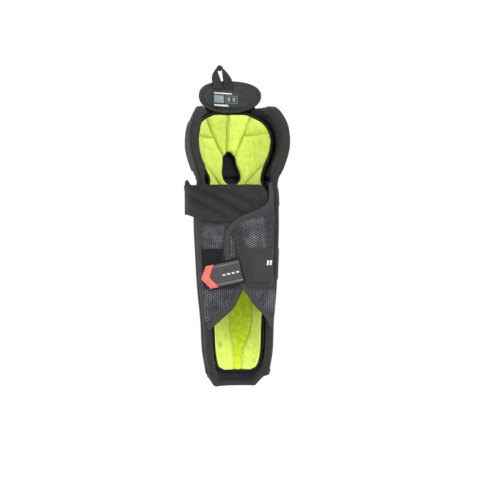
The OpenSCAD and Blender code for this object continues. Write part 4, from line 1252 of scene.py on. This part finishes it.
def oval_grid(w, h, n):
    """A square grid eased into an oval; also the share of the way from the middle to its border."""
    k = np.sin(np.linspace(-math.pi / 2, math.pi / 2, n) * 0.98) / math.sin(math.pi / 2 * 0.98)
    q, v = k[None, :] + 0 * k[:, None], k[:, None] + 0 * k[None, :]
    X, Z = q * np.sqrt(1 - v * v / 2), v * np.sqrt(1 - q * q / 2)
    rho = np.sqrt(X * X + Z * Z)
    grow = 1 + 0.06 * np.sin(2 * np.arctan2(Z, X)) ** 2 * rho
    return X * w / 2 * grow, Z * h / 2 * grow, np.clip(rho, 0, 1)


X, Z, rho = oval_grid(THIGH_W - 4, THIGH_H - 4, 84)
p = bent(X, Z, 0.9)
n = normals(p)
near_rim = (1 - rho) * (THIGH_H - 4) / 2
f = dome(near_rim, 4.0)
crown = 2.2 * (1 - rho ** 2.2)
crease = -1.6 * np.exp(-(seam_distance(X, Z, [[(-44, -12), (-30, -17), (-18, -21)]]) / 2.4) ** 2)
crease += -1.2 * np.exp(-(seam_distance(X, Z, [[(-36, -6), (-26, -13), (-20, -19)]]) / 2.2) ** 2)
lump = rumple(p, 22, 3) * 0.7 + rumple(p, 8, 5) * 0.3
ob = pad("thigh_cushion", p, (2.4 + crown + crease + lump) * f, 2.4 * f, 0.01, [LOBE, INNER], n=n,
         sides="")
give(ob, "thigh", "thigh_pad")
X, Z, rho = oval_grid(THIGH_W - 8, THIGH_H - 8, 60)
p = bent(X, Z, -3.2)[:, ::-1]
rim_d = ((1 - rho) * (THIGH_H - 8) / 2)[:, ::-1]
rib = 0.6 * np.exp(-((rim_d - 6) / 1.2) ** 2)
ob = pad("thigh_back_plate", p, (0.8 + rib) * dome(rim_d, 1.2), 0.7 * dome(rim_d, 1.2), 0.01, SHELL, sides="")
give(ob, "thigh", "thigh_plate")
ang = np.linspace(0, TAU, 181)
ca, sa = np.cos(ang), np.sin(ang)
ex = lambda w: w / 2 * np.sign(ca) * np.abs(ca) ** 0.9
ez = lambda h: h / 2 * np.sign(sa) * np.abs(sa) ** 0.9
ob = tube("thigh_edge_piping", bent(ex(THIGH_W - 3.4), ez(THIGH_H - 3.4), 0.8), 2.3, LOBE, sides=12)
give(ob, "thigh", "thigh_piping")
rows = [bent(ex(THIGH_W - 12), ez(THIGH_H - 12), 4.6)]
ob = stitches("thigh_stitches", rows, THREAD)
give(ob, "thigh")

# printed patch: base, plain bars and boxes
def patch(name, x0, x1, v0, v1, out, t, mat, slant=0.0, tilt=0.035):
    xx = spread(x0, x1, 10, 0.3, 2)[None, :]
    vv = spread(v0, v1, 6, 0.3, 2)[:, None]
    xs = xx + slant * (vv - v0) * (xx > (x0 + x1) / 2)
    g = bent(xs, vv - 1 - tilt * xs, out)
    ob = pad(name, g, t, t, 0.25, mat)
    return give(ob, "thigh")


base = patch("label_patch", -27, 16, -17, 9, 5.9, 0.5, LABEL)
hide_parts("size_label")
patch("label_bar_top", -24, 5, 4.8, 6.8, 6.4, 0.12, LABEL_LIGHT)
patch("label_box_left", -24, -8, -9.2, 2.6, 6.4, 0.12, LABEL_TEAL)
FRAMES = ((-5, 14, 1.8, 2.6), (-5, 14, -9.2, -8.4), (-5, -4.2, -9.2, 2.6), (13.2, 14, -9.2, 2.6),
          (-2, 2.5, -6.5, 0.0), (6, 10.5, -6.5, 0.0))
for i, (x0, x1, v0, v1) in enumerate(FRAMES):
    patch("label_frame_%d" % i, x0, x1, v0, v1, 6.4, 0.12, LABEL_TEAL)
patch("label_bar_low", -24, 0, -14.6, -12.0, 6.4, 0.12, LABEL_LIGHT, slant=-0.6)
# soft cloth from the knee's top rim up behind the lobe
k = np.linspace(1, -1, 50)[None, :]
top = bent(40 * k, -20.5 * np.sqrt(np.clip(1 - (k * 0.84) ** 2, 0, 1)) + 3, -1.2)
foot_s = 0.36 * k - 0.02
foot = section(foot_s, wing_top_z(foot_s) - 5, 9.5)
u = np.linspace(0, 1, 16)[:, None, None]
g = foot + (top - foot) * u
g[..., 1] += 2.5 * np.sin(math.pi * u[..., 0])
n = normals(g)
ob = pad("thigh_hinge_cloth", g + n * rumple(g, 10, 6)[..., None] * 0.5, 0.9, 0.8, 0.6, OUTER, n=n)
give(ob, nodes="thigh_hinge_fabric", between=("knee", "thigh", (0, 46, 430), (0, 38, 438)))

# hanging loop: webbing from one foot, up, edge on over the crown, and down to the other
LOOP_X, EYE_X, EYE_Y, EYE_Z, LOOP_LOW = -14.5, -20.2, 24.0, 504.0, 472.0


def loop_rows():
    """Rows of points across the webbing, all the way round: each from the eye's side to the outer side."""
    left, right = [], []
    for v in np.linspace(0, 1, 30):
        m = float(smooth(v))
        inner, outer = mix(1.0, 2.9, m), mix(17.0, 5.2, v ** 3.5)
        middle = mix(LOOP_X, EYE_X, m)
        deep = 3.8 * smooth((v - 0.35) / 0.65)
        for side, rows in ((-1, left), (1, right)):
            row = []
            for k in np.linspace(0, 1, 13):
                x = middle + side * mix(inner, outer, k)
                y = mix(THIGH_Y - (x - THIGH_X) ** 2 / (2 * BEND_R) - 5.6, EYE_Y, float(smooth(v * 1.4)))
                row.append([x, y + deep * (1 - 2 * k) * (1 if side < 0 else -0.6), mix(LOOP_LOW, EYE_Z, v) + 0 * k])
            rows.append(row)
    crown = []
    for a in np.linspace(0, math.pi, 13)[1:-1]:
        lean = math.cos(a)
        crown.append([[EYE_X - (2.9 + 2.3 * k) * math.cos(a), EYE_Y + 3.8 * (1 - 2 * k) * (0.2 + 0.8 * lean),
                       EYE_Z - 5.5 * math.sin(a) + (1.4 + 9.6 * k) * math.sin(a)] for k in np.linspace(0, 1, 13)])
    return np.array(left + crown + right[::-1])


g = loop_rows()
gx, gy = turned(g[..., 0], g[..., 1], TWIST)
g = np.stack([gx, gy, g[..., 2]], -1)
g += normals(g) * rumple(g, 9, 2)[..., None] * 0.3
ob = pad("hanging_loop", g, 0.8, 0.8, 0.6, WEBBING, sides="lr")
give(ob, "loop", "hang_loop")

# rivets on the shin shell
for i, (sv, zv) in enumerate(((-0.5, 58.0), (0.5, 58.0), (-0.5, 270.0), (0.5, 270.0))):
    c = section(np.array([sv, sv + 0.02]), zv, -3.3)
    d = c[1] - c[0]
    out = np.array([d[1], -d[0], 0.0]) / np.linalg.norm(d)
    out *= np.sign(out @ c[0])
    side = np.cross(out, [0, 0, 1.0])
    profile = [(0.0, 2.3), (1.2, 2.25), (1.4, 1.7), (2.6, 1.6), (3.6, 1.2), (4.4, 0.4), (4.6, -1.2)]
    pts, faces, uv = [], [], []
    for r, h in profile:
        for a in np.linspace(0, TAU, 28, endpoint=False):
            pts.append(c[0] + out * h + r * (side * math.cos(a) + np.array([0, 0, 1.0]) * math.sin(a)))
            uv.append([a * 3, r])
    for k in range(len(profile) - 1):
        for j in range(28):
            j2 = (j + 1) % 28
            faces.append([k * 28 + j, k * 28 + j2, (k + 1) * 28 + j2, (k + 1) * 28 + j][::-1])
    ob = mesh_object("rivet_%d" % i, np.array(pts), faces, np.array(uv), STEEL)
    give(ob, "shin")
    if i == 0:
        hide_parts("shell_rivets")

# what stays of the CAD frame: the hook patches that the liners cover, given a finish of their own
for name in ("shin_liner_hooks", "knee_liner_hooks"):
    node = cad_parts[name]
    node.data.materials.clear()
    node.data.materials.append(PILE)


# ---------------------------------------------------------------- floor, light and camera
def stage():
    n = Nodes("floor_paper")
    co = n.node("ShaderNodeNewGeometry", 0)
    sp = n.tree.nodes.new("ShaderNodeSeparateXYZ")
    n.put(sp.inputs[0], co)
    squares = [n.math("MULTIPLY", side, side) for side in sp.outputs[:2]]
    dist = n.math("SQRT", n.math("ADD", *squares))
    far = n.ramp(dist, 0.9, 2.4)
    grain = n.noise(co, 60.0, 3.0, 0.6)
    mat = n.done(n.blend(grain, (0.9, 0.9, 0.9), (0.93, 0.93, 0.93)), 0.8)
    glow = n.tree.nodes.new("ShaderNodeEmission")
    glow.inputs[0].default_value = (1, 1, 1, 1)
    glow.inputs[1].default_value = 1.0
    mixer = n.tree.nodes.new("ShaderNodeMixShader")
    out = next(k for k in n.tree.nodes if k.type == "OUTPUT_MATERIAL")
    n.tree.links.new(far, mixer.inputs[0])
    n.tree.links.new(n.bsdf.outputs[0], mixer.inputs[1])
    n.tree.links.new(glow.outputs[0], mixer.inputs[2])
    n.tree.links.new(mixer.outputs[0], out.inputs[0])
    me = bpy.data.meshes.new("floor")
    half, low = 8.0, -0.17
    me.from_pydata([(-half, -half, low), (half, -half, low), (half, half, low), (-half, half, low)], [], [(0, 1, 2, 3)])
    me.materials.append(mat)
    floor = bpy.data.objects.new("floor", me)
    bpy.context.scene.collection.objects.link(floor)
    world = bpy.data.worlds.new("studio")
    bpy.context.scene.world = world
    world.use_nodes = True
    world.node_tree.nodes["Background"].inputs[0].default_value = (1, 1, 1, 1)
    world.node_tree.nodes["Background"].inputs[1].default_value = 1.0
    centre = Vector((0, 0, 0.24))
    for name, place, size, power in (("key", (0.9, -1.9, 1.5), 1.2, 36), ("fill", (-1.5, -1.7, 0.6), 1.4, 13),
                                     ("back", (0.4, 1.9, 1.3), 1.4, 22)):
        lamp = bpy.data.lights.new(name, "AREA")
        lamp.size, lamp.energy = size, power
        ob = bpy.data.objects.new(name, lamp)
        ob.location = place
        ob.rotation_euler = (centre - Vector(place)).to_track_quat("-Z", "Y").to_euler()
        bpy.context.scene.collection.objects.link(ob)
    cam = bpy.data.cameras.new("camera")
    cam.sensor_width = 36.0
    cam.lens = 105.0
    ob = bpy.data.objects.new("camera", cam)
    bpy.context.scene.collection.objects.link(ob)
    az = math.radians(-4.0)
    target = Vector((0.0051, 0.0, 0.232))
    ob.location = target + Vector((math.sin(az), -math.cos(az), 0.0)) * 2.2
    ob.rotation_euler = (target - ob.location).to_track_quat("-Z", "Y").to_euler()
    ob.rotation_euler.rotate_axis("Z", math.radians(-0.6))
    bpy.context.scene.camera = ob
    bpy.context.scene.view_settings.view_transform = "Standard"


stage()
